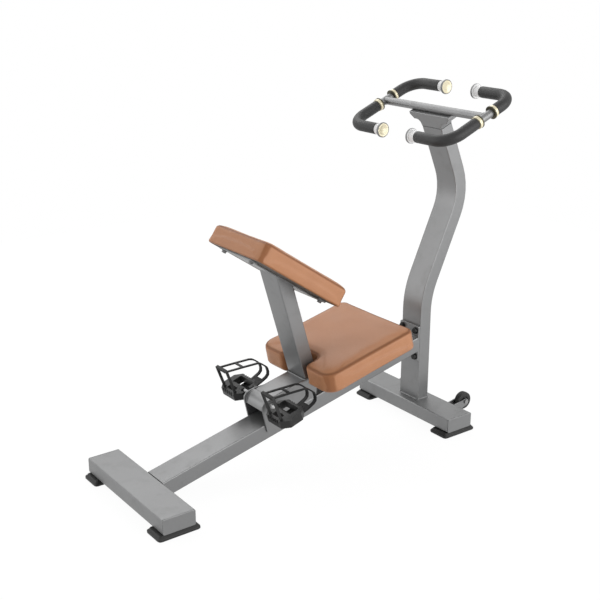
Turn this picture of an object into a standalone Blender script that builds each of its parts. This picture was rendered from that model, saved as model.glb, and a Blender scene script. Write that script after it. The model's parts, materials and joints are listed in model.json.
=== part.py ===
"""Stretching machine: a padded stretch bench with a bent column and two C-shaped handles.

A person sits on the sloping upper pad with the shins on the cushion below it, keeps both
feet in the strapped pedals and holds the handles on top of the column.

Metres, +Z up, +X from the front foot to the column, +Y to the machine's left side. The
origin is on the floor, in the middle of the outer box. Every sub-part is one named object
with its own material. The pedals turn on their spindles and the wheels on their axles.
"""

import math

import bmesh
import bpy
from mathutils import Matrix, Vector

# Gap between pieces that touch, and play around a pin that something turns on
gap = 0.0003
running_gap = 0.0003
sides_of_machine = (("left", 1), ("right", -1))

# Floor frame: two crossbars of closed rectangular tube on black shoes
front_bar_x = -0.6468
bar_spacing = 1.1668
bar_width = 0.114
bar_height = 0.0525
bar_length = 0.500
bar_cap_thickness = 0.004
tube_wall = 0.003
tube_corner = 0.005
foot_length = 0.148
foot_width = 0.084
foot_height = 0.0175
foot_corner = 0.010
foot_base_inset = 0.002
foot_rim = 0.008
foot_chamfer = 0.008
foot_overhang = 0.004
cap_edge = 0.001

# Main beam, rising from the front crossbar to the column
beam_width = 0.100
beam_depth = 0.0560
beam_pitch = math.radians(13.07)

# Bolted joint between the beam and the column
flange_thickness = 0.008
flange_height = 0.139
flange_corner = 0.006
flange_bolt_spread = 0.070
flange_bolt_edge = 0.0185
flange_bolt_tail = 0.010

# Bolt sizes: shank radius, width across flats, head height, washer radius
washer_thickness = 0.0022
flange_bolt = (0.0060, 0.0190, 0.0075, 0.0125)
plate_bolt = (0.0040, 0.0130, 0.0053, 0.0085)
plate_bolt_bite = 0.008
bolt_chamfer = 0.08

# Column, bent back and then forward
column_width = 0.100
column_depth = 0.053
column_before_bar = 0.0244
column_lower_bend_z = 0.4724
column_upper_bend_z = 0.8418
column_back_lean = math.radians(24.2)
column_forward_lean = math.radians(23.0)
column_lower_bend_radius = 0.300
column_upper_bend_radius = 0.200
column_bend_steps = 6

# Handle frame on top of the column, square to the column's upper stretch
handle_bar_z = 1.143
handle_bar_radius = 0.0140
handle_spread = 0.500
handle_front_reach = 0.176
handle_rear_reach = 0.146
handle_bend_radius = 0.065
handle_bend_steps = 5
handle_wall = 0.0025
cross_tube_relief = 0.00028
grip_radius = 0.0200
grip_end = 0.101
cap_neck_length = 0.023
cap_neck_radius = 0.0190
cap_flange_radius = 0.0262
cap_flange_thickness = 0.008
cap_end_wall = 0.004
cap_rim_edge = 0.003
cap_fillet = 0.001
collar_radius = 0.0235
collar_length = 0.015
collar_flange_length = 0.004
collar_band_drop = 0.0012
collar_edge = 0.0010
collar_reach_front = 0.026
collar_reach_rear = 0.031
saddle_top_drop = 0.0100
saddle_half_width = 0.098
saddle_height = 0.027
saddle_tip_height = 0.010
saddle_shoulder = 0.017
saddle_neck = 0.025
saddle_neck_fillet = 0.019
saddle_corner = 0.004
saddle_edge = 0.0015

# Raised channel on the beam, which carries the post
channel_height = 0.0828
channel_before_post = 0.1693
channel_past_post = 0.0317
channel_end_slant = 0.0280
channel_wall = 0.004

# Post of the upper pad
post_width = 0.100
post_depth = 0.053
post_lean = math.radians(16.6)
post_foot = 0.6203

# Upper pad, sloping down to the rear
pad_pitch = math.radians(34.0)
pad_before_foot = 0.13623
pad_above_foot = 0.45222
pad_length = 0.394
pad_width = 0.317
pad_corner = 0.031
pad_thickness = 0.0655
pad_hem = 0.006
pad_board_thickness = 0.0095
pad_plate_length = 0.360
pad_plate_width = 0.186
pad_plate_waist = 0.110
pad_plate_strip = 0.036
pad_plate_thickness = 0.005
pad_bolt_run = 0.326
pad_bolt_spread = 0.154
plate_corner = 0.008

# Kneeling cushion, parallel to the beam, with a notch that clears the post
seat_before_post = 0.0333
seat_length = 0.393
seat_width = 0.400
seat_front_corner = 0.050
seat_rear_corner = 0.032
seat_rise = 0.0700
seat_thickness = 0.0750
seat_hem = 0.014
seat_board_thickness = 0.012
seat_notch_half_width = 0.0590
seat_notch_depth = 0.075
seat_notch_corner = 0.024
seat_notch_mouth = 0.030
seat_plate_middle = 0.225
seat_plate_length = 0.240
seat_plate_width = 0.140
seat_plate_thickness = 0.005
seat_bolt_spread = 0.112
seat_riser_width = 0.080
seat_riser_length = 0.200
seat_riser_wall = 0.004

# Soft form of both cushions
cushion_edge = 0.013
cushion_crown = 0.004
cushion_crown_inset = 0.035
cushion_draw_in = 0.002
cushion_wrap = 0.004

# Foot bracket: two cheeks beside the beam and a rolled hood between them
axle_before_post = 0.1844
axle_rise = 0.0607
cheek_thickness = 0.0065
cheek_front = 0.0330
cheek_top = 0.0850
cheek_top_rear = 0.016
cheek_rear = 0.0640
cheek_rear_top = 0.0740
cheek_rear_bottom = 0.0060
cheek_waist = 0.0160
cheek_bottom = 0.0310
cheek_front_radius = 0.022
cheek_waist_radius = 0.030
cheek_radius = 0.010
hood_thickness = 0.004
hood_lip_reach = 0.0270
hood_lip_rise = 0.0480
hood_lean = 0.012
hood_roll_radius = 0.037

# Pedals with toe clips and straps
pedal_tilt = math.radians(18.0)
pedal_inner_y = 0.076
pedal_outer_y = 0.198
pedal_fore = 0.045
pedal_aft = 0.052
pedal_thickness = 0.028
pedal_corner_cut = 0.024
pedal_rim = 0.012
pedal_barrel_radius = 0.0125
pedal_notch_depth = 0.022
pedal_window_width = 0.044
pedal_window_length = 0.020
pedal_opening_width = 0.080
pedal_opening_shift = 0.007
pedal_tooth_pitch = 0.012
pedal_tooth_depth = 0.004
pedal_tooth_count = 5
pedal_tooth_gap = 0.0066
pedal_tooth_base = 0.002
pedal_edge = 0.004
barrel_gap = 0.0015
spindle_radius = 0.0070
spindle_shoulder_radius = 0.0105
spindle_collar_radius = 0.0130
spindle_collar_length = 0.010
clip_front = -0.0368
clip_height = 0.100
clip_rail_spread = 0.050
clip_rail_width = 0.009
clip_nose_strip_width = 0.014
clip_thickness = 0.005
clip_bar_width = 0.012
clip_web_width = 0.009
clip_web_along = 0.030
clip_web_height = 0.0775
clip_shoulder_along = 0.096
clip_shoulder_height = 0.0560
clip_nose = 0.1170
clip_nose_height = 0.0250
clip_toe_bend = 0.018
clip_base_start = 0.024
clip_base_end = 0.070
strap_width = 0.010
strap_thickness = 0.0028
strap_lean = math.radians(-3.0)
strap_bend = 0.0035
strap_slot_play = 0.0010

# Transport wheels behind the rear crossbar
wheel_offset_y = 0.138
wheel_reach = 0.0662
wheel_axle_z = 0.062
wheel_radius = 0.033
wheel_width = 0.024
wheel_hub_radius = 0.020
wheel_hub_recess = 0.003
wheel_bevel = 0.004
wheel_side_gap = 0.0015
axle_radius = 0.0045
axle_head_radius = 0.0085
axle_head_length = 0.005
fork_wall = 0.004
fork_height = 0.034
fork_nose_radius = 0.013
fork_back_length = 0.016
fork_back_radius = 0.006

# Levels and places that follow from the sizes above
bar_bottom_z = foot_height + gap
bar_top_z = bar_bottom_z + bar_height
rear_bar_x = front_bar_x + bar_spacing
column_front_x = rear_bar_x - column_before_bar
column_x = column_front_x + column_depth / 2
flange_front_x = column_front_x - gap - flange_thickness
cheek_inner_y = beam_width / 2 + gap
cheek_outer_y = cheek_inner_y + cheek_thickness
pedal_centre_y = (pedal_inner_y + pedal_outer_y) / 2
wheel_axle_x = rear_bar_x + bar_width / 2 + wheel_reach
beam_start = Vector((front_bar_x + bar_width / 2 + gap, 0, bar_top_z))
beam_axis = Vector((math.cos(beam_pitch), 0, math.sin(beam_pitch)))
beam_up = Vector((-math.sin(beam_pitch), 0, math.cos(beam_pitch)))
axle_along = post_foot - axle_before_post
channel_front = post_foot - channel_before_post
channel_rear_top = post_foot + channel_past_post
channel_rear_bottom = channel_rear_top - channel_end_slant
seat_front = post_foot - seat_before_post
pad_centre = beam_start + beam_axis * post_foot + Vector((-pad_before_foot, 0, pad_above_foot))


def on_beam(along, height):
    """A point in the middle plane, measured along the beam's top and square to it."""
    return beam_start + beam_axis * along + beam_up * height


axle_x, _, axle_z = on_beam(axle_along, axle_rise)


def clear_scene():
    for thing in list(bpy.data.objects):
        bpy.data.objects.remove(thing, do_unlink=True)


def make_material(name, colour, roughness, metallic=0.0):
    material = bpy.data.materials.new(name)
    material.use_nodes = True
    shader = material.node_tree.nodes["Principled BSDF"]
    shader.inputs["Base Color"].default_value = (*colour, 1.0)
    shader.inputs["Roughness"].default_value = roughness
    shader.inputs["Metallic"].default_value = metallic
    return material


clear_scene()
frame_paint = make_material("frame_paint", (0.36, 0.36, 0.37), 0.42, 0.55)
black_plastic = make_material("black_plastic", (0.030, 0.030, 0.032), 0.45)
black_foam = make_material("black_foam", (0.045, 0.045, 0.048), 0.75)
black_steel = make_material("black_steel", (0.04, 0.04, 0.042), 0.40, 0.7)
bright_steel = make_material("bright_steel", (0.62, 0.62, 0.63), 0.28, 1.0)
pale_gold = make_material("pale_gold", (0.86, 0.80, 0.58), 0.22, 0.9)
tan_leather = make_material("tan_leather", (0.45, 0.20, 0.095), 0.45)
dark_board = make_material("dark_board", (0.10, 0.085, 0.075), 0.70)
tyre_rubber = make_material("tyre_rubber", (0.035, 0.035, 0.037), 0.65)


# Points, outlines and paths


def fore_and_aft(angle):
    """Unit vector that rises by an angle toward +X, and the unit vector square to it."""
    along = Vector((math.cos(angle), 0, math.sin(angle)))
    square = Vector((-math.sin(angle), 0, math.cos(angle)))
    return along, square


def slide(point, direction, plane_point, plane_normal):
    """Move a point along a direction until it meets a plane."""
    distance = (plane_point - point).dot(plane_normal) / direction.dot(plane_normal)
    return point + direction * distance


def filleted(corners, steps=4):
    """A closed outline with round corners. Each corner is (u, v, radius)."""
    outline = []
    count = len(corners)
    for index, (u, v, radius) in enumerate(corners):
        corner = Vector((u, v, 0))
        before = (Vector((*corners[index - 1][:2], 0)) - corner).normalized()
        after = (Vector((*corners[(index + 1) % count][:2], 0)) - corner).normalized()
        if radius <= 0:
            outline.append(corner.xy)
            continue
        opening = before.angle(after)
        first = corner + before * (radius / math.tan(opening / 2))
        centre = corner + (before + after).normalized() * (radius / math.sin(opening / 2))
        turn_axis = after.cross(before).normalized()
        for step in range(steps + 1):
            turn = Matrix.Rotation((math.pi - opening) * step / steps, 3, turn_axis)
            outline.append((centre + turn @ (first - centre)).xy)
    return outline


def rounded_rectangle(length, width, radius, steps=2):
    half_length = length / 2
    half_width = width / 2
    corners = [
        (-half_length, -half_width, radius),
        (half_length, -half_width, radius),
        (half_length, half_width, radius),
        (-half_length, half_width, radius),
    ]
    return filleted(corners, steps)


def circle(radius, sides=16):
    turn = 2 * math.pi / sides
    return [Vector((radius * math.cos(turn * k), radius * math.sin(turn * k))) for k in range(sides)]


def smooth_path(corners, steps):
    """(point, direction) pairs along corners of (point, radius), rounded by arcs."""
    points = [corner for corner, radius in corners]
    stations = [(points[0], (points[1] - points[0]).normalized())]
    for index in range(1, len(corners) - 1):
        corner, radius = corners[index]
        arrive = (corner - points[index - 1]).normalized()
        leave = (points[index + 1] - corner).normalized()
        bend = arrive.angle(leave)
        pivot_axis = arrive.cross(leave).normalized()
        start = corner - arrive * radius * math.tan(bend / 2)
        centre = start + pivot_axis.cross(arrive) * radius
        for step in range(steps + 1):
            turn = Matrix.Rotation(bend * step / steps, 3, pivot_axis)
            stations.append((centre + turn @ (start - centre), turn @ arrive))
    stations.append((points[-1], (points[-1] - points[-2]).normalized()))
    return stations


def straight_path(start, finish):
    along = (Vector(finish) - Vector(start)).normalized()
    return [(Vector(start), along), (Vector(finish), along)]


# Solids


def add_object(name, mesh_data, material, location=(0, 0, 0), rotation_y=0.0, rounded=False):
    """Turn a bmesh into a named object at its place."""
    bmesh.ops.recalc_face_normals(mesh_data, faces=mesh_data.faces)
    mesh = bpy.data.meshes.new(name)
    mesh_data.to_mesh(mesh)
    mesh_data.free()
    mesh.materials.append(material)
    if rounded:
        mesh.shade_smooth()
        mesh.set_sharp_from_angle(angle=math.radians(35))
    piece = bpy.data.objects.new(name, mesh)
    piece.location = location
    piece.rotation_euler = (0, rotation_y, 0)
    bpy.context.collection.objects.link(piece)
    return piece


def add_boolean(piece, tool, operation="DIFFERENCE"):
    """Cut a piece by a hidden tool, or join the tool to it."""
    tool.hide_render = True
    tool.display_type = "WIRE"
    modifier = piece.modifiers.new(operation.lower(), "BOOLEAN")
    modifier.operation = operation
    modifier.solver = "EXACT"
    modifier.object = tool


def add_bevel(piece, width, segments=2):
    modifier = piece.modifiers.new("edge", "BEVEL")
    modifier.width = width
    modifier.segments = segments
    modifier.limit_method = "ANGLE"
    modifier.angle_limit = math.radians(40)


def join_rings(mesh_data, rings):
    """Walls between rings that hold the same number of points."""
    for lower, upper in zip(rings, rings[1:]):
        count = len(lower)
        for k in range(count):
            following = (k + 1) % count
            mesh_data.faces.new((lower[k], lower[following], upper[following], upper[k]))


def add_swept(mesh_data, stations, side, outer, inner=None, cuts=(None, None)):
    """Sweep an outline, or a wall between two, along stations. Cuts trim the two ends."""
    shells = []
    for outline in (outer, inner):
        if outline is None:
            continue
        rings = []
        for number, (centre, along) in enumerate(stations):
            up = along.cross(side)
            ring = [centre + side * u + up * v for u, v in outline]
            cut = None
            if number == 0:
                cut = cuts[0]
            elif number == len(stations) - 1:
                cut = cuts[1]
            if cut:
                ring = [slide(point, along, *cut) for point in ring]
            rings.append([mesh_data.verts.new(point) for point in ring])
        join_rings(mesh_data, rings)
        shells.append(rings)
    for end in (0, -1):
        if inner is None:
            mesh_data.faces.new(shells[0][end])
        else:
            join_rings(mesh_data, [shells[0][end], shells[1][end]])


def swept(name, stations, side, outer, inner, material, cuts=(None, None), **placing):
    mesh_data = bmesh.new()
    add_swept(mesh_data, stations, Vector(side), outer, inner, cuts)
    return add_object(name, mesh_data, material, **placing)


def add_prism(mesh_data, outline, place, back, front):
    """Extrude a flat outline. place turns (u, v, depth) into a point."""
    base = [mesh_data.verts.new(place(u, v, back)) for u, v in outline]
    raised = bmesh.ops.extrude_face_region(mesh_data, geom=[mesh_data.faces.new(base)])
    top = [item for item in raised["geom"] if isinstance(item, bmesh.types.BMVert)]
    step = Vector(place(0, 0, front)) - Vector(place(0, 0, back))
    bmesh.ops.translate(mesh_data, verts=top, vec=step)


def prism(name, outline, place, back, front, material, **placing):
    mesh_data = bmesh.new()
    add_prism(mesh_data, outline, place, back, front)
    return add_object(name, mesh_data, material, **placing)


def flat_up(u, v, depth):
    """Outline in X and Y, thickness along Z."""
    return (u, v, depth)


def side_on(u, v, depth):
    """Outline in X and Z, thickness along Y."""
    return (u, depth, v)


def front_on(u, v, depth):
    """Outline in Y and Z, thickness along X."""
    return (depth, u, v)


def turned(name, profile, axis, material, sides=16, **placing):
    """Spin a closed profile of (radius, distance along the axis) about X or Y."""
    mesh_data = bmesh.new()
    if axis == "X":
        points = [mesh_data.verts.new((along, 0, radius)) for radius, along in profile]
        direction = (1, 0, 0)
    else:
        points = [mesh_data.verts.new((radius, along, 0)) for radius, along in profile]
        direction = (0, 1, 0)
    edges = []
    for k in range(len(points)):
        if profile[k - 1][0] > 0 or profile[k][0] > 0:
            edges.append(mesh_data.edges.new((points[k - 1], points[k])))
    bmesh.ops.spin(
        mesh_data,
        geom=points + edges,
        cent=(0, 0, 0),
        axis=direction,
        angle=2 * math.pi,
        steps=sides,
    )
    bmesh.ops.remove_doubles(mesh_data, verts=mesh_data.verts, dist=1e-6)
    return add_object(name, mesh_data, material, rounded=True, **placing)


def rod(name, radius, start, finish, side, sides=16):
    """A plain round bar between two points, used as a tool."""
    outline = circle(radius, sides)
    return swept(name, straight_path(start, finish), side, outline, None, black_steel)


def box_section(width, depth, wall):
    """Outer and inner outline of a rectangular tube."""
    outer = rounded_rectangle(width, depth, tube_corner)
    inner = rounded_rectangle(width - 2 * wall, depth - 2 * wall, tube_corner - wall)
    return outer, inner


def channel_section(width, height, wall):
    """Outline of a channel that is open below, from its lower left corner."""
    inside = width / 2 - wall
    corners = [
        (-width / 2, 0, 0),
        (-inside, 0, 0),
        (-inside, height - wall, wall / 2),
        (inside, height - wall, wall / 2),
        (inside, 0, 0),
        (width / 2, 0, 0),
        (width / 2, height, 1.5 * wall),
        (-width / 2, height, 1.5 * wall),
    ]
    return filleted(corners, 2)


# Bolts


def build_bolt(name, place, angle, grip, size):
    """A hexagon bolt and its washer. The shank points up from +X by an angle."""
    shank, across, head, washer = size
    step = math.pi / 3
    chamfer = bolt_chamfer * across
    head_top = -washer_thickness - head

    def hexagon(turn):
        return across / 2 / math.cos(turn % step - step / 2)

    profile = [
        (head_top, lambda turn: across / 2 - chamfer / 2),
        (head_top + chamfer / 2, hexagon),
        (-washer_thickness, hexagon),
        (-washer_thickness, lambda turn: washer),
        (0.0, lambda turn: washer),
        (0.0, lambda turn: shank),
        (grip, lambda turn: shank),
    ]
    mesh_data = bmesh.new()
    rings = []
    for along, reach in profile:
        ring = []
        for k in range(12):
            turn = math.pi / 6 * k
            away = reach(turn)
            ring.append(mesh_data.verts.new((along, away * math.cos(turn), away * math.sin(turn))))
        rings.append(ring)
    join_rings(mesh_data, rings)
    mesh_data.faces.new(rings[0])
    mesh_data.faces.new(rings[-1])
    add_object(name, mesh_data, black_steel, place, -angle)


def fasten(name, pieces, places, angle, grip, size):
    """Bolts at named places, and their holes through the pieces that they clamp."""
    mesh_data = bmesh.new()
    hole = circle(size[0] + gap, 12)
    along, _ = fore_and_aft(angle)
    for word, place in places:
        start = place - along * 3 * gap
        finish = place + along * (grip + gap)
        add_swept(mesh_data, straight_path(start, finish), Vector((0, 1, 0)), hole)
        build_bolt(f"{name}_{word}", place, angle, grip, size)
    tool = add_object(f"cut_{name}_holes", mesh_data, black_steel)
    for piece in pieces:
        add_boolean(piece, tool)


# Floor frame


def build_crossbar(name, bar_x):
    outer, inner = box_section(bar_width, bar_height, tube_wall)
    centre_z = bar_bottom_z + bar_height / 2
    half_tube = bar_length / 2 - bar_cap_thickness - gap
    path = straight_path((bar_x, -half_tube, centre_z), (bar_x, half_tube, centre_z))
    swept(f"{name}_crossbar", path, (1, 0, 0), outer, inner, frame_paint, rounded=True)
    for word, sign in sides_of_machine:
        start = sign * (bar_length / 2 - bar_cap_thickness)
        finish = sign * bar_length / 2
        cap = prism(f"{name}_bar_cap_{word}", outer, side_on, start, finish, frame_paint,
                    location=(bar_x, 0, centre_z))
        add_bevel(cap, cap_edge, 1)
        build_foot(f"{name}_foot_{word}", bar_x, sign)


def build_foot(name, bar_x, sign):
    """A black shoe with a bevelled rim, wider than the tube that stands on it."""
    centre_y = sign * (bar_length / 2 + foot_overhang - foot_width / 2)
    rim_top = foot_rim
    shoulder = foot_rim + foot_chamfer
    levels = [
        (0.0, foot_base_inset),
        (foot_base_inset, 0.0),
        (rim_top, 0.0),
        (shoulder, foot_chamfer),
        (foot_height, foot_chamfer),
    ]
    mesh_data = bmesh.new()
    rings = []
    for height, inset in levels:
        length = foot_length - 2 * inset
        width = foot_width - 2 * inset
        outline = rounded_rectangle(length, width, foot_corner - inset / 2)
        rings.append([mesh_data.verts.new((u, v, height)) for u, v in outline])
    join_rings(mesh_data, rings)
    mesh_data.faces.new(rings[0])
    mesh_data.faces.new(rings[-1])
    add_object(name, mesh_data, black_plastic, (bar_x, centre_y, 0))


def build_beam(column):
    """The sloping beam with its welded flange, bolted to the column."""
    outer, inner = box_section(beam_width, beam_depth, tube_wall)
    middle = beam_start - beam_up * (beam_depth / 2)
    finish_x = flange_front_x + flange_thickness / 2
    run = (finish_x - beam_start.x) / beam_axis.x
    upright = Vector((1, 0, 0))
    cuts = ((beam_start, upright), (Vector((finish_x, 0, 0)), upright))
    path = straight_path(middle, middle + beam_axis * run)
    beam = swept("main_beam", path, (0, 1, 0), outer, inner, frame_paint, cuts, rounded=True)
    end = middle + beam_axis * ((flange_front_x - beam_start.x) / beam_axis.x)
    outline = rounded_rectangle(column_width, flange_height, flange_corner)
    flange = prism("add_flange", outline, front_on, 0, flange_thickness, frame_paint,
                   location=(flange_front_x, 0, end.z))
    add_boolean(beam, flange, "UNION")
    places = []
    for level_word, level in (("upper", 1), ("lower", -1)):
        for word, sign in sides_of_machine:
            z = end.z + level * (flange_height / 2 - flange_bolt_edge)
            y = sign * flange_bolt_spread / 2
            places.append((f"{level_word}_{word}", Vector((flange_front_x - gap, y, z))))
    grip = gap + flange_thickness + gap + tube_wall + flange_bolt_tail
    fasten("flange_bolt", [beam, column], places, 0.0, grip, flange_bolt)


# Column and its bolted joint


def column_points():
    """Corners of the column's centre line: foot, lower bend, upper bend and handle bar."""
    foot = Vector((column_x, 0, bar_top_z + gap))
    lower = Vector((column_x, 0, column_lower_bend_z))
    back_run = (column_upper_bend_z - column_lower_bend_z) * math.tan(column_back_lean)
    upper = Vector((column_x + back_run, 0, column_upper_bend_z))
    forward_run = (handle_bar_z - column_upper_bend_z) * math.tan(column_forward_lean)
    top = Vector((upper.x - forward_run, 0, handle_bar_z))
    return foot, lower, upper, top


def build_column():
    foot, lower, upper, bar = column_points()
    head_up = (bar - upper).normalized()
    top = bar - head_up * (saddle_top_drop + saddle_height + saddle_neck + gap)
    corners = [
        (foot, 0),
        (lower, column_lower_bend_radius),
        (upper, column_upper_bend_radius),
        (top, 0),
    ]
    outer, inner = box_section(column_width, column_depth, tube_wall)
    path = smooth_path(corners, column_bend_steps)
    return swept("column", path, (0, 1, 0), outer, inner, frame_paint, rounded=True)


# Handles


def handle_frame():
    """Centre of the handle bar, the way rearward along the handles, and their square."""
    along, square = fore_and_aft(column_forward_lean)
    return column_points()[3], along, square


def build_saddle():
    """The head of the column: a groove for the cross tube, sloped arms and a filleted neck."""
    centre, _, square = handle_frame()
    arm = saddle_half_width
    shoulder = arm - saddle_shoulder
    neck = column_width / 2
    foot = -saddle_height - saddle_neck
    corners = [
        (-arm, 0, saddle_corner / 2),
        (-arm, -saddle_tip_height, saddle_corner),
        (-shoulder, -saddle_height, saddle_corner),
        (-neck, -saddle_height, saddle_neck_fillet),
        (-neck, foot, 0),
        (neck, foot, 0),
        (neck, -saddle_height, saddle_neck_fillet),
        (shoulder, -saddle_height, saddle_corner),
        (arm, -saddle_tip_height, saddle_corner),
        (arm, 0, saddle_corner / 2),
    ]
    half_depth = column_depth / 2
    saddle = prism("column_saddle", filleted(corners, 3), front_on, -half_depth, half_depth,
                   frame_paint, location=centre - square * saddle_top_drop,
                   rotation_y=-column_forward_lean)
    add_bevel(saddle, saddle_edge, 1)
    reach = Vector((0, arm + saddle_shoulder, 0))
    radius = handle_bar_radius + gap
    add_boolean(saddle, rod("cut_saddle_groove", radius, centre - reach, centre + reach, square))


def build_cross_tube():
    """The bar between both handles, each end hollowed to sit against a handle's tube."""
    centre, _, square = handle_frame()
    half = Vector((0, handle_spread / 2, 0))
    outer = circle(handle_bar_radius)
    inner = circle(handle_bar_radius - handle_wall)
    tube = swept("cross_tube", straight_path(centre - half, centre + half), square,
                 outer, inner, frame_paint, rounded=True)
    reach = handle_bar_radius + gap
    for corner in tube.data.vertices:
        height = (corner.co - centre).dot(square) * (1 - cross_tube_relief / handle_bar_radius)
        seat = handle_spread / 2 - math.sqrt(reach ** 2 - height ** 2)
        corner.co.y = math.copysign(seat, corner.co.y)


def build_handle(word, sign):
    """A C-shaped tube with foam on both arms, two collars and two end caps."""
    centre, along, square = handle_frame()
    outward = Vector((0, sign, 0))
    side_line = centre + outward * (handle_spread / 2)
    tube_outer = circle(handle_bar_radius)
    tube_inner = circle(handle_bar_radius - handle_wall)
    foam_outer = circle(grip_radius)
    foam_inner = circle(handle_bar_radius + gap)
    corners = {}
    inner_end = grip_end - cap_neck_length + cap_end_wall + gap
    for end, reach in (("front", -handle_front_reach), ("rear", handle_rear_reach)):
        arm_line = centre + along * reach
        corners[end] = (arm_line + outward * inner_end, arm_line + outward * handle_spread / 2)
    whole = [
        (corners["front"][0], 0),
        (corners["front"][1], handle_bend_radius),
        (corners["rear"][1], handle_bend_radius),
        (corners["rear"][0], 0),
    ]
    swept(f"handle_tube_{word}", smooth_path(whole, handle_bend_steps), square,
          tube_outer, tube_inner, frame_paint, rounded=True)
    for end, way, collar_reach in (("front", -1, collar_reach_front), ("rear", 1, collar_reach_rear)):
        collar_start = side_line + along * way * collar_reach
        build_collar(f"collar_{end}_{word}", collar_start, way)
        foam_start = collar_start + along * way * (collar_length + gap)
        arm_line = corners[end][0] - outward * inner_end
        foam = [
            (foam_start, 0),
            (corners[end][1], handle_bend_radius),
            (arm_line + outward * grip_end, 0),
        ]
        swept(f"grip_{end}_{word}", smooth_path(foam, handle_bend_steps), square,
              foam_outer, foam_inner, black_foam, rounded=True)
        build_handle_cap(f"handle_cap_{end}_{word}", arm_line, sign)


def build_collar(name, start, way):
    """A ring on the tube: a wide flange toward the cross tube and a band behind it."""
    bore = handle_bar_radius + gap
    band = collar_radius - collar_band_drop
    profile = [
        (bore, 0),
        (collar_radius - collar_edge, 0),
        (collar_radius, collar_edge),
        (collar_radius, collar_flange_length),
        (band, collar_flange_length + collar_edge / 2),
        (band, collar_length - collar_edge),
        (band - collar_edge, collar_length),
        (bore, collar_length),
    ]
    turned(name, [(radius, way * reach) for radius, reach in profile], "X", pale_gold,
           location=start, rotation_y=-column_forward_lean)


def build_handle_cap(name, arm_line, sign):
    """A cup over the tube's end, with a wide rim that closes the foam."""
    bore = handle_bar_radius + gap
    disc = grip_end - cap_neck_length
    face = disc - cap_flange_thickness
    rim = cap_flange_radius
    profile = [
        (0, face),
        (rim - cap_rim_edge, face),
        (rim, face + cap_rim_edge),
        (rim, disc - cap_fillet),
        (rim - cap_fillet, disc),
        (cap_neck_radius, disc + cap_fillet),
        (cap_neck_radius, grip_end - gap),
        (bore, grip_end - gap),
        (bore, disc + cap_end_wall),
        (0, disc + cap_end_wall),
    ]
    turned(name, [(radius, sign * reach) for radius, reach in profile], "Y", pale_gold,
           location=arm_line, rotation_y=-column_forward_lean)


# Post and upper pad


def build_channel():
    """The raised channel on the beam, its rear end cut at a slant."""
    outline = channel_section(beam_width, channel_height - gap, channel_wall)
    start = on_beam(channel_front, gap)
    finish = on_beam(channel_rear_top, gap)
    top_rear = on_beam(channel_rear_top, channel_height)
    slant = top_rear - on_beam(channel_rear_bottom, gap)
    slant_normal = slant.cross(Vector((0, 1, 0)))
    path = straight_path(start, finish)
    swept("post_channel", path, (0, 1, 0), outline, None, frame_paint,
          (None, (top_rear, slant_normal)))


def pad_frame():
    """Middle of the pad board's underside, the way down the pad, and its upward square."""
    along, square = fore_and_aft(-pad_pitch)
    return pad_centre, along, square


def build_post():
    """The leaning post, its foot cut along the channel and its head welded to a plate."""
    outer, inner = box_section(post_width, post_depth, tube_wall)
    foot = on_beam(post_foot, channel_height + gap)
    along = Vector((-math.sin(post_lean), 0, math.cos(post_lean)))
    pad_middle, _, pad_up = pad_frame()
    head_point = pad_middle - pad_up * (gap + pad_plate_thickness / 2)
    head = slide(foot, along, head_point, pad_up)
    cuts = ((foot, beam_up), (head_point, pad_up))
    post = swept("pad_post", straight_path(foot, head), (0, 1, 0), outer, inner, frame_paint,
                 cuts, rounded=True)
    plate = prism("add_pad_plate", pad_plate_outline(), flat_up, -pad_plate_thickness - gap, -gap,
                  frame_paint, location=pad_middle, rotation_y=pad_pitch)
    add_boolean(post, plate, "UNION")
    return post


def pad_plate_outline():
    """Two cross strips with the pad's bolts, joined by a narrower waist over the post."""
    end = pad_plate_length / 2
    neck = end - pad_plate_strip
    reach = pad_plate_width / 2
    waist = pad_plate_waist / 2
    quarter = [(end, reach), (neck, reach), (neck, waist)]
    corners = quarter + [(-u, v) for u, v in reversed(quarter)]
    corners += [(-u, -v) for u, v in corners]
    return filleted([(u, v, plate_corner) for u, v in corners], 2)


def build_upper_pad(post):
    middle, along, square = pad_frame()
    board = prism("pad_board", pad_outline(pad_hem + cushion_wrap), flat_up, 0, pad_board_thickness,
                  dark_board, location=middle, rotation_y=pad_pitch)
    cushion = build_cushion("pad_cushion", middle, pad_pitch, (pad_length, pad_width, pad_thickness),
                            (pad_corner, pad_corner), pad_hem)
    add_board_recess(cushion, pad_outline(pad_hem + cushion_wrap - gap), pad_board_thickness,
                     middle, pad_pitch)
    head_face = middle - square * (gap + pad_plate_thickness + gap)
    places = []
    for end, way in (("upper", -1), ("lower", 1)):
        for word, sign in sides_of_machine:
            away = along * (pad_bolt_run / 2 * way) + Vector((0, pad_bolt_spread / 2 * sign, 0))
            places.append((f"{end}_{word}", head_face + away))
    grip = gap + pad_plate_thickness + gap + plate_bolt_bite
    fasten("pad_bolt", [post, board], places, math.pi / 2 - pad_pitch, grip, plate_bolt)


def pad_outline(inset):
    length = pad_length - 2 * inset
    width = pad_width - 2 * inset
    return rounded_rectangle(length, width, pad_corner - inset, 4)


def cushion_levels(thickness, hem):
    """Inset and height of each ring: hem, side, rolled edge and raised crown."""
    roll_start = thickness - cushion_edge
    levels = []
    for step in range(4):
        angle = math.pi / 2 * step / 3
        levels.append((hem * (1 - math.sin(angle)), hem * (1 - math.cos(angle))))
    for step in range(5):
        angle = math.pi / 2 * step / 4
        inset = cushion_edge * (1 - math.cos(angle))
        levels.append((inset, roll_start + cushion_edge * math.sin(angle)))
    for step in range(1, 4):
        share = step / 3
        rise = cushion_crown * math.sin(math.pi / 2 * share)
        levels.append((cushion_edge + cushion_crown_inset * share, thickness + rise))
    return levels


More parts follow.
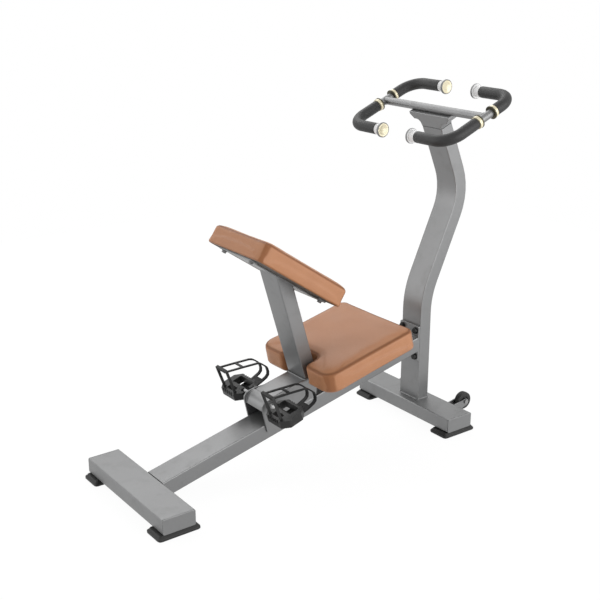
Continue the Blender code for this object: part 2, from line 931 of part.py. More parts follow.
def cushion_outline(length, width, front_corner, rear_corner, inset):
    """A ring of the cushion, whose sides pull in between its corners."""
    half_length = length / 2 - inset
    half_width = width / 2 - inset
    front = max(front_corner - inset, cushion_wrap)
    rear = max(rear_corner - inset, cushion_wrap)
    corners = [
        (-half_length, -half_width, front),
        (0, cushion_draw_in - half_width, half_length),
        (half_length, -half_width, rear),
        (half_length - cushion_draw_in, 0, half_width),
        (half_length, half_width, rear),
        (0, half_width - cushion_draw_in, half_length),
        (-half_length, half_width, front),
        (cushion_draw_in - half_length, 0, half_width),
    ]
    return filleted(corners, 4)


def build_cushion(name, bottom, pitch, size, corners, hem):
    """A foam cushion in its cover: rings that shrink toward the crown."""
    length, width, thickness = size
    mesh_data = bmesh.new()
    rings = []
    for inset, height in cushion_levels(thickness, hem):
        outline = cushion_outline(length, width, *corners, inset)
        rings.append([mesh_data.verts.new((u, v, height)) for u, v in outline])
    join_rings(mesh_data, rings)
    mesh_data.faces.new(rings[0])
    mesh_data.faces.new(rings[-1])
    return add_object(name, mesh_data, tan_leather, bottom, pitch, rounded=True)


def add_board_recess(cushion, outline, board_thickness, place, pitch):
    """Hollow a cushion from below, so that its cover reaches down around the board."""
    tool = prism(f"cut_{cushion.name}_recess", outline, flat_up, -board_thickness,
                 board_thickness + gap, tan_leather, location=place, rotation_y=pitch)
    add_boolean(cushion, tool)


# Kneeling cushion


def seat_outline(inset):
    """Outline of the seat from its front edge, with the notch for the post."""
    half = seat_width / 2 - inset
    notch = seat_notch_half_width + inset
    depth = seat_notch_depth + inset
    length = seat_length - inset
    corners = [
        (inset, -half, seat_front_corner - inset),
        (length, -half, seat_rear_corner - inset),
        (length, half, seat_rear_corner - inset),
        (inset, half, seat_front_corner - inset),
        (inset, notch, seat_notch_mouth - inset),
        (depth, notch, seat_notch_corner + inset),
        (depth, -notch, seat_notch_corner + inset),
        (inset, -notch, seat_notch_mouth - inset),
    ]
    return filleted(corners, 5)


def build_seat():
    front_bottom = on_beam(seat_front, seat_rise)
    middle_bottom = on_beam(seat_front + seat_length / 2, seat_rise)
    board = prism("seat_board", seat_outline(seat_hem + cushion_wrap), flat_up, 0,
                  seat_board_thickness, dark_board, location=front_bottom,
                  rotation_y=-beam_pitch)
    cushion = build_cushion("seat_cushion", middle_bottom, -beam_pitch,
                            (seat_length, seat_width, seat_thickness),
                            (seat_front_corner, seat_rear_corner), seat_hem)
    add_boolean(cushion, build_notch_tool(middle_bottom))
    add_board_recess(cushion, seat_outline(seat_hem + cushion_wrap - gap), seat_board_thickness,
                     front_bottom, -beam_pitch)
    build_seat_support(board)


def build_notch_tool(place):
    """The notch as a solid whose walls flare out into the cushion's rolled edge."""
    reach = cushion_crown_inset
    roll_start = seat_thickness - cushion_edge
    levels = [(0.0, -cushion_edge)]
    for step in range(5):
        angle = math.pi / 2 * step / 4
        flare = cushion_edge * (1 - math.cos(angle))
        levels.append((flare, roll_start + cushion_edge * math.sin(angle)))
    levels.append((2 * cushion_edge, seat_thickness + cushion_crown))
    mesh_data = bmesh.new()
    rings = []
    for flare, height in levels:
        half = seat_notch_half_width + flare
        mouth = seat_notch_mouth - flare
        corner = seat_notch_corner + flare
        depth = seat_notch_depth + flare
        wide = half + mouth + reach
        corners = [
            (-reach, -wide, 0),
            (-reach, wide, 0),
            (flare, wide, 0),
            (flare, half, mouth),
            (depth, half, corner),
            (depth, -half, corner),
            (flare, -half, mouth),
            (flare, -wide, 0),
        ]
        outline = [(u - seat_length / 2, v) for u, v in filleted(corners, 5)]
        rings.append([mesh_data.verts.new((u, v, height)) for u, v in outline])
    join_rings(mesh_data, rings)
    mesh_data.faces.new(rings[0])
    mesh_data.faces.new(rings[-1])
    return add_object("cut_seat_notch", mesh_data, tan_leather, place, -beam_pitch)


def build_seat_support(board):
    """A channel on the beam, welded to a plate that the seat board is bolted to."""
    plate_bottom = seat_rise - gap - seat_plate_thickness
    outline = channel_section(seat_riser_width, plate_bottom - gap + seat_plate_thickness / 2,
                              seat_riser_wall)
    middle = seat_front + seat_plate_middle
    path = straight_path(on_beam(middle - seat_riser_length / 2, gap),
                         on_beam(middle + seat_riser_length / 2, gap))
    bracket = swept("seat_bracket", path, (0, 1, 0), outline, None, frame_paint)
    plate_outline = rounded_rectangle(seat_plate_length, seat_plate_width, plate_corner)
    plate = prism("add_seat_plate", plate_outline, flat_up, 0, seat_plate_thickness,
                  frame_paint, location=on_beam(middle, plate_bottom), rotation_y=-beam_pitch)
    add_boolean(bracket, plate, "UNION")
    places = []
    for word, sign in sides_of_machine:
        spread = Vector((0, seat_bolt_spread / 2 * sign, 0))
        places.append((word, on_beam(middle, plate_bottom - gap) + spread))
    grip = gap + seat_plate_thickness + gap + plate_bolt_bite
    fasten("seat_bolt", [bracket, board], places, math.pi / 2 + beam_pitch, grip, plate_bolt)


# Foot bracket


def cheek_outline():
    """Side view of a cheek, measured along the beam from the axle and up from its top."""
    corners = [
        (-cheek_front, cheek_top, cheek_front_radius),
        (cheek_top_rear, cheek_top, cheek_radius),
        (cheek_rear, cheek_rear_top, cheek_radius / 2),
        (cheek_rear, cheek_rear_bottom, cheek_radius),
        (cheek_radius, -cheek_waist, cheek_waist_radius),
        (-cheek_front, -cheek_bottom, cheek_radius / 2),
    ]
    return filleted(corners, 3)


def build_foot_bracket():
    """Two cheeks on the beam and a rolled sheet between them, as one welded piece."""
    foot = on_beam(axle_along, 0)
    mesh_data = bmesh.new()
    for _, sign in sides_of_machine:
        add_prism(mesh_data, cheek_outline(), side_on, sign * cheek_inner_y, sign * cheek_outer_y)
    bracket = add_object("foot_bracket", mesh_data, frame_paint, foot, -beam_pitch)
    sheet = bmesh.new()
    half = cheek_inner_y + cheek_thickness / 2
    strip = rounded_rectangle(2 * half, hood_thickness, hood_thickness / 4)
    add_swept(sheet, hood_path(), Vector((0, 1, 0)), strip)
    hood = add_object("add_hood", sheet, frame_paint, foot, -beam_pitch)
    add_boolean(bracket, hood, "UNION")
    hole = rod("cut_spindle_holes", spindle_radius + gap, (axle_x, -pedal_outer_y, axle_z),
               (axle_x, pedal_outer_y, axle_z), (1, 0, 0), 16)
    add_boolean(bracket, hole)


def hood_path():
    """The rolled sheet from its lip, over the spindles, back to the channel's top."""
    sheet = channel_height - hood_thickness / 2
    lip = Vector((-hood_lip_reach, 0, hood_lip_rise))
    shoulder = Vector((hood_lean - hood_lip_reach, 0, sheet))
    tail = Vector((channel_front - axle_along - gap, 0, sheet))
    return smooth_path([(lip, 0), (shoulder, hood_roll_radius), (tail, 0)], 6)


# Pedals


def pedal_place(sign):
    """Location and rotation of a pedal: its origin is on the spindle's axis."""
    location = (axle_x, sign * pedal_centre_y, axle_z)
    return {"location": location, "rotation_y": -pedal_tilt}


def build_spindle(word, sign):
    """The fixed spindle: a stub in the cheek, a collar, a shoulder and the pedal's pin."""
    collar_start = cheek_outer_y + gap
    collar_end = collar_start + spindle_collar_length
    shoulder_end = pedal_inner_y + pedal_notch_depth - running_gap
    pin_end = pedal_outer_y - pedal_rim
    profile = [
        (0, cheek_inner_y),
        (spindle_radius, cheek_inner_y),
        (spindle_radius, collar_start),
        (spindle_collar_radius, collar_start),
        (spindle_collar_radius, collar_end),
        (spindle_shoulder_radius, collar_end),
        (spindle_shoulder_radius, shoulder_end),
        (spindle_radius, shoulder_end),
        (spindle_radius, pin_end),
        (0, pin_end),
    ]
    turned(f"pedal_spindle_{word}", [(radius, sign * reach) for radius, reach in profile], "Y",
           bright_steel, 16, location=(axle_x, 0, axle_z))


def build_pedal(word, sign):
    """An eight-sided tread with a barrel on the spindle, windows and a toothed grip."""
    half = (pedal_outer_y - pedal_inner_y) / 2
    cut = pedal_corner_cut
    corners = [
        (-pedal_fore, -half + cut, pedal_edge),
        (-pedal_fore + cut, -half, pedal_edge),
        (pedal_aft - cut, -half, pedal_edge),
        (pedal_aft, -half + cut, pedal_edge),
        (pedal_aft, half - cut, pedal_edge),
        (pedal_aft - cut, half, pedal_edge),
        (-pedal_fore + cut, half, pedal_edge),
        (-pedal_fore, half - cut, pedal_edge),
    ]
    placing = pedal_place(sign)
    half_thick = pedal_thickness / 2
    pedal = prism(f"pedal_{word}", filleted(corners, 2), flat_up, -half_thick, half_thick,
                  black_plastic, **placing)
    notch_end = -sign * (half - pedal_notch_depth)
    pin_end = sign * (half - pedal_rim + running_gap)
    barrel_end = sign * (half - pedal_rim / 2)
    barrel = turned_bar(f"add_pedal_barrel_{word}", pedal_barrel_radius, notch_end, barrel_end,
                        placing)
    add_boolean(pedal, pedal_cutter(word, sign, placing))
    add_boolean(pedal, pedal_opening(word, sign, placing))
    add_boolean(pedal, barrel, "UNION")
    bore = turned_bar(f"cut_pedal_bore_{word}", spindle_radius + running_gap,
                      notch_end - sign * barrel_gap, pin_end, placing)
    add_boolean(pedal, bore)


def pedal_opening(word, sign, placing):
    """The wide opening behind the barrel, which reaches into the notch at the inner end."""
    length = pedal_aft - pedal_rim
    outline = rounded_rectangle(length, pedal_opening_width, pedal_edge)
    moved = [(u + length / 2, v - sign * pedal_opening_shift) for u, v in outline]
    return prism(f"cut_pedal_opening_{word}", moved, flat_up, -pedal_thickness, pedal_thickness,
                 black_plastic, **placing)


def turned_bar(name, radius, start, finish, placing):
    profile = [(0, start), (radius, start), (radius, finish), (0, finish)]
    return turned(name, profile, "Y", black_plastic, 16, **placing)


def pedal_cutter(word, sign, placing):
    """A window before the barrel, the notch at its inner end, strap slots and tooth gaps."""
    mesh_data = bmesh.new()
    deep = pedal_thickness
    half = (pedal_outer_y - pedal_inner_y) / 2
    window_middle = pedal_barrel_radius + pedal_window_length / 2 - pedal_edge / 4
    window = rounded_rectangle(pedal_window_length, pedal_window_width, pedal_edge)
    add_prism(mesh_data, [(u - window_middle, v) for u, v in window], flat_up, -deep, deep)
    reach = 2 * pedal_notch_depth
    notch = rounded_rectangle(2 * (pedal_barrel_radius + barrel_gap), reach, pedal_edge)
    add_prism(mesh_data, [(u, v - sign * half) for u, v in notch], flat_up, -deep, deep)
    slot = rounded_rectangle(strap_width + 2 * strap_slot_play,
                             strap_thickness + 2 * strap_slot_play, strap_slot_play, 1)
    for way in (-1, 1):
        moved = [(u + strap_foot_along(), v + strap_side(way)) for u, v in slot]
        add_prism(mesh_data, moved, flat_up, -deep, deep)
    first = -(pedal_tooth_count - 1) / 2
    tooth_gap = rounded_rectangle(2 * pedal_tooth_depth, pedal_tooth_gap, 0)
    for edge in (-pedal_fore, pedal_aft):
        for number in range(pedal_tooth_count):
            middle = (first + number) * pedal_tooth_pitch
            moved = [(u + edge, v + middle) for u, v in tooth_gap]
            add_prism(mesh_data, moved, flat_up, pedal_tooth_base, deep)
    return add_object(f"cut_pedal_{word}", mesh_data, black_plastic, **placing)


def clip_path():
    """Centre line of the toe clip: under the tread, round the nose and over the foot."""
    base = -pedal_thickness / 2 - gap - clip_thickness / 2
    points = [
        (clip_base_start, base, 0),
        (clip_base_end, base, clip_shoulder_along),
        (clip_nose, base / 2, clip_toe_bend),
        (clip_nose, clip_nose_height, clip_toe_bend),
        (clip_shoulder_along, clip_shoulder_height, 2 * clip_toe_bend),
        (clip_web_along, clip_web_height, clip_shoulder_along),
        (clip_front - clip_bar_width / 2, clip_height, 0),
    ]
    return smooth_path([(Vector((u, 0, v)), radius) for u, v, radius in points], 2)


def build_toe_clip(word, sign):
    """A bent strip whose middle is cut away, so that two rails, a web and a bar are left."""
    placing = pedal_place(sign)
    outer_half = (clip_rail_spread + clip_rail_width) / 2
    outline = rounded_rectangle(2 * outer_half, clip_thickness, clip_thickness / 4, 1)
    clip = swept(f"toe_clip_{word}", clip_path(), (0, 1, 0), outline, None, black_plastic, **placing)
    rail = outer_half - clip_rail_width
    strip = outer_half - clip_nose_strip_width
    beyond = clip_nose + clip_toe_bend
    bar_edge = clip_front + clip_bar_width / 2
    web_front = clip_web_along - clip_web_width / 2
    web_rear = clip_web_along + clip_web_width / 2
    narrows = clip_shoulder_along - clip_nose_strip_width
    front_window = [(bar_edge, -rail), (web_front, -rail), (web_front, rail), (bar_edge, rail)]
    rear_window = [
        (web_rear, -rail),
        (narrows, -rail),
        (clip_shoulder_along, -strip),
        (beyond, -strip),
        (beyond, strip),
        (clip_shoulder_along, strip),
        (narrows, rail),
        (web_rear, rail),
    ]
    toe_window = [(clip_base_end, -strip), (beyond, -strip), (beyond, strip), (clip_base_end, strip)]
    middle = clip_nose_height / 2
    upper = bmesh.new()
    add_prism(upper, front_window, flat_up, middle, clip_height + clip_bar_width)
    add_prism(upper, rear_window, flat_up, middle, clip_height + clip_bar_width)
    add_boolean(clip, add_object(f"cut_clip_windows_{word}", upper, black_plastic, **placing))
    toe = prism(f"cut_clip_toe_{word}", toe_window, flat_up, -2 * pedal_thickness,
                middle + clip_thickness, black_plastic, **placing)
    add_boolean(clip, toe)


def strap_side(way):
    """Middle of a strap's side run, outside the clip's rails."""
    return way * ((clip_rail_spread + clip_rail_width) / 2 + gap + strap_thickness / 2)


def strap_foot_along():
    """Where the strap passes through the tread, under the clip's front bar."""
    return clip_front - clip_height * math.tan(strap_lean)


def build_strap(word, sign):
    """A closed band: over the clip's bar, down through the tread and under it."""
    up, _ = fore_and_aft(math.pi / 2 - strap_lean)
    lift = clip_thickness / 2 + 3 * gap + strap_thickness / 2
    top = Vector((clip_front, 0, clip_height)) + up * lift
    depth = (clip_height + pedal_thickness / 2 + clip_thickness) / math.cos(strap_lean)
    depth += 2 * strap_thickness
    half = strap_side(1)
    corners = [
        (-half, 0, strap_bend),
        (-half, -depth, strap_bend),
        (half, -depth, strap_bend),
        (half, 0, strap_bend),
    ]
    loop = filleted(corners, 2)
    across = Vector((0, 1, 0))
    width_way = up.cross(across) * (strap_width / 2)
    mesh_data = bmesh.new()
    rings = []
    for edge, outward in ((-1, -1), (1, -1), (1, 1), (-1, 1)):
        ring = []
        for number, (u, v) in enumerate(loop):
            run = (loop[(number + 1) % len(loop)] - loop[number - 1]).normalized()
            away = Vector((-run.y, run.x)) * (outward * strap_thickness / 2)
            point = top + across * (u + away.x) + up * (v + away.y) + width_way * edge
            ring.append(mesh_data.verts.new(point))
        rings.append(ring)
    join_rings(mesh_data, [*rings, rings[0]])
    add_object(f"toe_strap_{word}", mesh_data, black_plastic, **pedal_place(sign))


# Transport wheels


def build_wheel(word, sign):
    centre = (wheel_axle_x, sign * wheel_offset_y, wheel_axle_z)
    half = wheel_width / 2
    hub_half = half - wheel_hub_recess
    bore = axle_radius + running_gap
    profile = [
        (bore, -hub_half),
        (wheel_hub_radius, -hub_half),
        (wheel_hub_radius, -half),
        (wheel_radius - wheel_bevel, -half),
        (wheel_radius, -half + wheel_bevel),
        (wheel_radius, half - wheel_bevel),
        (wheel_radius - wheel_bevel, half),
        (wheel_hub_radius, half),
        (wheel_hub_radius, hub_half),
        (bore, hub_half),
    ]
    turned(f"wheel_{word}", profile, "Y", tyre_rubber, 20, location=centre)
    fork_inner = half + wheel_side_gap
    fork_outer = fork_inner + fork_wall
    head_inner = fork_outer + gap
    head_outer = head_inner + axle_head_length
    axle_profile = [
        (0, -head_outer),
        (axle_head_radius, -head_outer),
        (axle_head_radius, -head_inner),
        (axle_radius, -head_inner),
        (axle_radius, head_inner),
        (axle_head_radius, head_inner),
        (axle_head_radius, head_outer),
        (0, head_outer),
    ]
    turned(f"wheel_axle_{word}", axle_profile, "Y", bright_steel, 20, location=centre)
    build_fork(word, sign, fork_inner, fork_outer)


def build_fork(word, sign, fork_inner, fork_outer):
    """A bent plate: its back on the crossbar, and an arm on each side of the wheel."""
    back = rear_bar_x + bar_width / 2 + gap - wheel_axle_x
    nose = fork_nose_radius
    middle_z = bar_bottom_z + bar_height / 2 - wheel_axle_z
    low = middle_z - fork_height / 2
    high = middle_z + fork_height / 2
    placing = {"location": (wheel_axle_x, sign * wheel_offset_y, wheel_axle_z)}
    side = [
        (back, low, 0),
        (back + fork_back_length, low, fork_back_radius),
        (nose, -nose, 0.9 * nose),
        (nose, nose, 0.9 * nose),
        (back, high, 0),
    ]
    fork = prism(f"wheel_fork_{word}", filleted(side, 3), side_on, -fork_outer, fork_outer,
                 frame_paint, **placing)
    inner_back = back + fork_wall
    space = [
        (inner_back, low - nose),
        (2 * nose, low - nose),
        (2 * nose, high + 2 * nose),
        (inner_back, high + 2 * nose),
    ]
    add_boolean(fork, prism(f"cut_fork_space_{word}", space, side_on, -fork_inner, fork_inner,
                            frame_paint, **placing))
    bore = axle_radius + gap
    reach = 2 * fork_outer
    profile = [(0, -reach), (bore, -reach), (bore, reach), (0, reach)]
    add_boolean(fork, turned(f"cut_fork_bore_{word}", profile, "Y", frame_paint, 20, **placing))


build_crossbar("front", front_bar_x)
build_crossbar("rear", rear_bar_x)
build_beam(build_column())
build_saddle()
build_cross_tube()
build_channel()
build_upper_pad(build_post())
build_seat()
build_foot_bracket()
for word, sign in sides_of_machine:
    build_handle(word, sign)
    build_spindle(word, sign)
    build_pedal(word, sign)
    build_toe_clip(word, sign)
    build_strap(word, sign)
    build_wheel(word, sign)
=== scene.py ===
# %% [markdown]
# # The looks of a stretching machine
# The solid model is read from model.glb: steel tubes, two cushions, pedals, wheels and handles.
# It comes in as a fixed frame that is never moved. Each piece then gets its finish, and where
# the real one has finer edges, seams or soft forms, a finer piece stands in its place.

# %% Bring in the imported model
import json
import math

import bmesh
import bpy
from mathutils import Matrix, Vector
from mathutils.bvhtree import BVHTree
from mathutils.kdtree import KDTree


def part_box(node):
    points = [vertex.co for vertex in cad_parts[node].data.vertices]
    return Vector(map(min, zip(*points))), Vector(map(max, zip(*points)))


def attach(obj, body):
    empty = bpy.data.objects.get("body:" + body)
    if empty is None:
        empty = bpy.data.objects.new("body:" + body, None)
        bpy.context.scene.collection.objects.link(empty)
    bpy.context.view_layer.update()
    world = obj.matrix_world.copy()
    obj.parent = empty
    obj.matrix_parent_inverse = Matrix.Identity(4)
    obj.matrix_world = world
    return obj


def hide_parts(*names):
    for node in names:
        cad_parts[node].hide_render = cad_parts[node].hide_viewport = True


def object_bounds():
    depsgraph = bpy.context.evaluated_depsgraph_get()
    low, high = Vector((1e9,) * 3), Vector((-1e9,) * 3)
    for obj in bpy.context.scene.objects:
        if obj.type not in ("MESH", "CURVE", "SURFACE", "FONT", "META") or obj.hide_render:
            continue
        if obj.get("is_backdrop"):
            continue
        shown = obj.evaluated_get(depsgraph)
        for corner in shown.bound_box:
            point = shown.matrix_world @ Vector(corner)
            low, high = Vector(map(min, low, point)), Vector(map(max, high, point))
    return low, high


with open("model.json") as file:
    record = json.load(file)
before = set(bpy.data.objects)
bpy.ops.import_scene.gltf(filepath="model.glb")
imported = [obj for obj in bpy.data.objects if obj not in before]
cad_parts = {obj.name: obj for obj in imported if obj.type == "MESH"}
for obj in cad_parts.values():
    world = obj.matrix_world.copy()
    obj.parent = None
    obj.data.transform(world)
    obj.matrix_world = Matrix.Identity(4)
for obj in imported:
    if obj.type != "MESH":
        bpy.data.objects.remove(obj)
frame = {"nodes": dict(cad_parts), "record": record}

solids = frame["nodes"]
body_of_node = {
    node: body for body, nodes in frame["record"]["behaviour"]["bodies"].items() for node in nodes
}
solid_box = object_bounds()

# %% [markdown]
# The photograph was taken from the front left, almost half a metre above the handles. The
# camera could be placed by eye, but here its place and its two angles were worked out from the
# tubes' edges, so a straight tube in the render lies on the same tube in the photograph.

# %% Place the camera
camera_place = Vector((-2.00066, -2.69061, 1.68516))
camera_drop = math.radians(18.70)
camera_turn = math.radians(53.56)


def in_scene(name, data):
    """A new object in the scene that shows a mesh, a curve, a lamp or a camera."""
    made = bpy.data.objects.new(name, data)
    bpy.context.scene.collection.objects.link(made)
    return made


camera_data = bpy.data.cameras.new("studio_camera")
camera_data.sensor_width = 36
camera_data.lens = 63.05
camera = in_scene("studio_camera", camera_data)
camera.location = camera_place
camera.rotation_euler = (math.pi / 2 - camera_drop, 0, camera_turn - math.pi / 2)
bpy.context.scene.camera = camera
print("camera at", [round(v, 3) for v in camera_place])

# %% [markdown]
# Shader nodes are easier to read as sums. A Value holds one socket, and Python's own signs on
# it add the Math nodes. A Tree holds the nodes of a material or of the sky, and its node()
# method adds any other kind of node from its type, its settings and what its sockets take. A
# Finish is the tree of one material, with short names for the patterns that all finishes use.

# %% A small language for finishes
class Value:
    """One socket of a finish, which Python's own signs join to numbers and to other sockets."""

    def __init__(self, tree, socket):
        self.tree = tree
        self.socket = socket

    def maths(self, operation, first, second):
        """A Math node that joins two values or numbers."""
        return self.tree.node("Math", {"operation": operation}, {0: first, 1: second})

    def __add__(self, other):
        return self.maths("ADD", self, other)

    def __sub__(self, other):
        return self.maths("SUBTRACT", self, other)

    def __rsub__(self, other):
        return self.maths("SUBTRACT", other, self)

    def __mul__(self, other):
        return self.maths("MULTIPLY", self, other)

    __radd__ = __add__
    __rmul__ = __mul__


class Tree:
    """The nodes of a material or of the sky."""

    def __init__(self, tree):
        self.nodes = tree.nodes
        self.links = tree.links

    def node(self, kind, settings=None, inputs=None, output=0):
        """Add one node by its kind, with its settings and what its sockets take."""
        made = self.nodes.new("ShaderNode" + kind)
        for key, value in (settings or {}).items():
            setattr(made, key, value)
        for socket, value in (inputs or {}).items():
            self.feed(made.inputs[socket], value)
        return Value(self, made.outputs[output])

    def feed(self, socket, value):
        if isinstance(value, Value):
            self.links.new(value.socket, socket)
        else:
            socket.default_value = value

    def seen_directly(self):
        """One where a ray comes from the camera, a mirror or glass, and nought elsewhere."""
        value = self.node("LightPath", output="Is Camera Ray")
        for name in ("Is Glossy Ray", "Is Transmission Ray"):
            value = value.maths("MAXIMUM", value, self.node("LightPath", output=name))
        return value


class Finish(Tree):
    """A material with one Principled shader, and a short way to add nodes to it."""

    def __init__(self, name, settings):
        self.material = bpy.data.materials.new(name)
        self.material.use_nodes = True
        super().__init__(self.material.node_tree)
        self.shader = self.nodes["Principled BSDF"]
        for socket, value in settings.items():
            self.set(socket, value)
        self.place = self.node("TexCoord", output="Object")

    def set(self, socket, value):
        self.feed(self.shader.inputs[socket], value)

    def noise(self, scale, detail=2.0, place=None):
        """Clouds from 0 to 1: a larger scale makes them smaller, and detail adds finer ones."""
        inputs = {"Vector": place or self.place, "Scale": scale, "Detail": detail}
        return self.node("TexNoise", None, inputs)

    def cells(self, scale, feature="F1"):
        """How far a point is from the middle, or from the edge, of its cell."""
        inputs = {"Vector": self.place, "Scale": scale}
        return self.node("TexVoronoi", {"feature": feature}, inputs, "Distance")

    def stretched(self, scale):
        """The surface's own place, stretched by a different share along each axis."""
        return self.node("Mapping", None, {"Vector": self.place, "Scale": scale})

    def span(self, value, low, high):
        """Nought where value is at low or under it, one at high or over it, even between."""
        return self.node("MapRange", {"clamp": True}, {0: value, 1: low, 2: high})

    def tint(self, factor, first, second):
        """A colour between two colours."""
        return self.node("Mix", {"data_type": "RGBA"}, {0: factor, 6: first, 7: second}, 2)

    def relief(self, height, depth, strength=1.0):
        """Small relief on the surface: height is from 0 to 1, and depth is in metres."""
        inputs = {"Height": height, "Distance": depth, "Strength": strength}
        self.set("Normal", self.node("Bump", None, inputs))

    def painted_on(self, name):
        """How much of a mask that was worked out for each corner of the mesh is here."""
        return self.node("Attribute", {"attribute_name": name}, None, "Fac")


def grey(level, warmth=0.0):
    """A grey with a slight warm or cold cast, as a colour with alpha."""
    return (level * (1 + warmth), level, level * (1 - warmth), 1.0)


print("finish helpers are ready")

# %% [markdown]
# The steel is powder coated in silver grey with a fine metal flake. The flake makes the paint
# answer to the sky and the floor like metal, so its top faces are light and its sides dark.
# Powder paint is also never quite flat: it has a fine orange peel, here a low noise relief.

# %% Silver-grey powder paint
flake_grain = 1500
peel_grain = 420
paint = Finish("silver_powder_paint", {"Metallic": 0.78, "Specular IOR Level": 0.5})
cloud = paint.noise(7.0, 4.0)
flake = paint.noise(flake_grain, 1.0)
handled = paint.span(paint.noise(22.0, 5.0), 0.52, 0.72)
paint_light = paint.tint(flake, grey(0.200, -0.006), grey(0.250, -0.006))
paint.set("Base Color", paint.tint(handled * 0.25, paint_light, grey(0.178, 0.004)))
paint.set("Roughness", 0.36 + cloud * 0.10 + handled * 0.05)
paint.relief(paint.noise(peel_grain, 2.0), 0.00012, 0.55)
print("paint flake every", round(1000 / flake_grain, 2), "mm")

# %% [markdown]
# The cushions wear a tan vinyl leather. A real hide has a net of fine creases around small
# cells, so the relief is the distance to the edge of Voronoi cells, broken up by noise. The
# cover's colour is darker along its seams, as painted shade with some dirt, and on its rolled
# edges, as painted shade; it is slightly glossier where hands and legs polish it.

# %% Tan leather
leather_grain = 620
tan_deep = (0.47, 0.212, 0.102, 1)
tan_fair = (0.56, 0.262, 0.130, 1)
crease_brown = (0.30, 0.11, 0.04, 1)
roll_shade_brown = (0.31, 0.115, 0.040, 1)
dirt_and_shade_brown = (0.14, 0.055, 0.022, 1)
leather = Finish("tan_leather_cover", {"Specular IOR Level": 0.4})
hide = leather.noise(14.0, 5.0)
pores = leather.cells(leather_grain, "DISTANCE_TO_EDGE")
creases = leather.span(pores, 0.0, 0.16)
# mask for painted shade, with some dirt, along the seam
seam_dirt_and_shade = leather.painted_on("seam")
polish = leather.span(leather.noise(9.0, 3.0), 0.45, 0.75)
creased = leather.tint((1 - creases) * 0.35, leather.tint(hide, tan_deep, tan_fair), crease_brown)
# painted shade on the rolled edges of the cover
rolled_edge_shade = leather.tint(leather.painted_on("roll") * 0.85, creased, roll_shade_brown)
leather.set("Base Color", leather.tint(seam_dirt_and_shade * 0.62, rolled_edge_shade, dirt_and_shade_brown))
leather.set("Roughness", 0.47 - polish * 0.08 + seam_dirt_and_shade * 0.25)
leather.relief(creases * 0.7 + leather.noise(260.0, 3.0) * 0.3, 0.00022, 0.6)
# the welt is painted darker than the cover, as painted shade along the seam
seam_shade_deep = (0.22, 0.088, 0.036, 1)
seam_shade_fair = (0.30, 0.125, 0.052, 1)
welt_shade_vinyl = Finish("tan_seam_vinyl", {"Specular IOR Level": 0.4, "Roughness": 0.6})
welt_shade_vinyl.set("Base Color", welt_shade_vinyl.tint(welt_shade_vinyl.noise(90.0), seam_shade_deep, seam_shade_fair))
welt_shade_vinyl.relief(welt_shade_vinyl.noise(900.0), 0.0002, 0.5)
print("leather cells of about", round(1000 / leather_grain, 1), "mm")

# %% [markdown]
# The hand grips are closed-cell foam: matt black with tiny open pores at its skin. The foam
# drinks light, so its colour is almost black and its pores are only a little relief.

# %% Black grip foam
foam = Finish("black_grip_foam", {"Specular IOR Level": 0.5})
foam_pores = foam.span(foam.cells(1100.0), 0.15, 0.5)
foam_skin = foam.noise(60.0, 4.0)
foam.set("Base Color", foam.tint(foam_skin, grey(0.008), grey(0.019)))
foam.set("Roughness", 0.46 + foam_skin * 0.14)
foam.relief(foam_pores, 0.00025, 0.5)
print("foam skin done")

# %% [markdown]
# The shoes, the pedals and the wheels' hubs are moulded plastic. The mould has a spark-eroded
# texture, which makes a fine even grain, and patches that rub on soles and floors go a little grey.

# %% Moulded black plastic
plastic = Finish("moulded_black_plastic", {"Specular IOR Level": 0.3})
rubbed = plastic.span(plastic.noise(75.0, 6.0), 0.56, 0.70)
plastic.set("Base Color", plastic.tint(rubbed, grey(0.020), grey(0.045, 0.02)))
plastic.set("Roughness", 0.36 + plastic.noise(35.0) * 0.12 + rubbed * 0.15)
plastic.relief(plastic.noise(1600.0, 1.0), 0.00015, 0.45)
print("plastic done")

# %% [markdown]
# The wheels' tread is rubber and the pedals' straps are coated webbing, and both are rougher
# than the plastic. The strap is woven under its coating, so two crossed waves make a weave in
# its relief. The toe clips are nylon, which is blacker than the pedals and shines less.

# %% Rubber, strap webbing and clip nylon
rubber = Finish("black_tyre_rubber", {"Specular IOR Level": 0.4})
dusty = rubber.span(rubber.noise(120.0, 6.0), 0.45, 0.75)
rubber.set("Base Color", rubber.tint(dusty, grey(0.020), grey(0.050, 0.03)))
rubber.set("Roughness", 0.60 + dusty * 0.2)
rubber.relief(rubber.noise(700.0, 2.0), 0.0002, 0.5)
webbing = Finish("black_strap_webbing", {"Specular IOR Level": 0.4})
threads = {"Vector": webbing.place, "Scale": 260.0}
weft = webbing.node("TexWave", {"bands_direction": "Z"}, threads)
warp = webbing.node("TexWave", {"bands_direction": "Y"}, threads)
weave = weft * warp
webbing.set("Base Color", webbing.tint(weave, grey(0.016), grey(0.036)))
webbing.set("Roughness", 0.55 + webbing.noise(80.0) * 0.15)
webbing.relief(weave, 0.0003, 0.6)
nylon = Finish("black_clip_nylon", {"Specular IOR Level": 0.2})
scuffed = nylon.span(nylon.noise(90.0, 5.0), 0.55, 0.75)
nylon.set("Base Color", nylon.tint(scuffed, grey(0.009), grey(0.026)))
nylon.set("Roughness", 0.40 + nylon.noise(50.0) * 0.12)
nylon.relief(nylon.noise(1500.0, 1.0), 0.00012, 0.4)
print("rubber, webbing and nylon done")

# %% [markdown]
# More metals: bolts with a black oxide skin that is worn here and there, duller zinc on the
# bolts under the upper pad, ground steel on the spindles and axles, and cream-gold anodised
# aluminium on the handles' rings and end caps, with an olive flange and a white neck. Ground
# steel is brushed round its axis, so its noise is stretched.

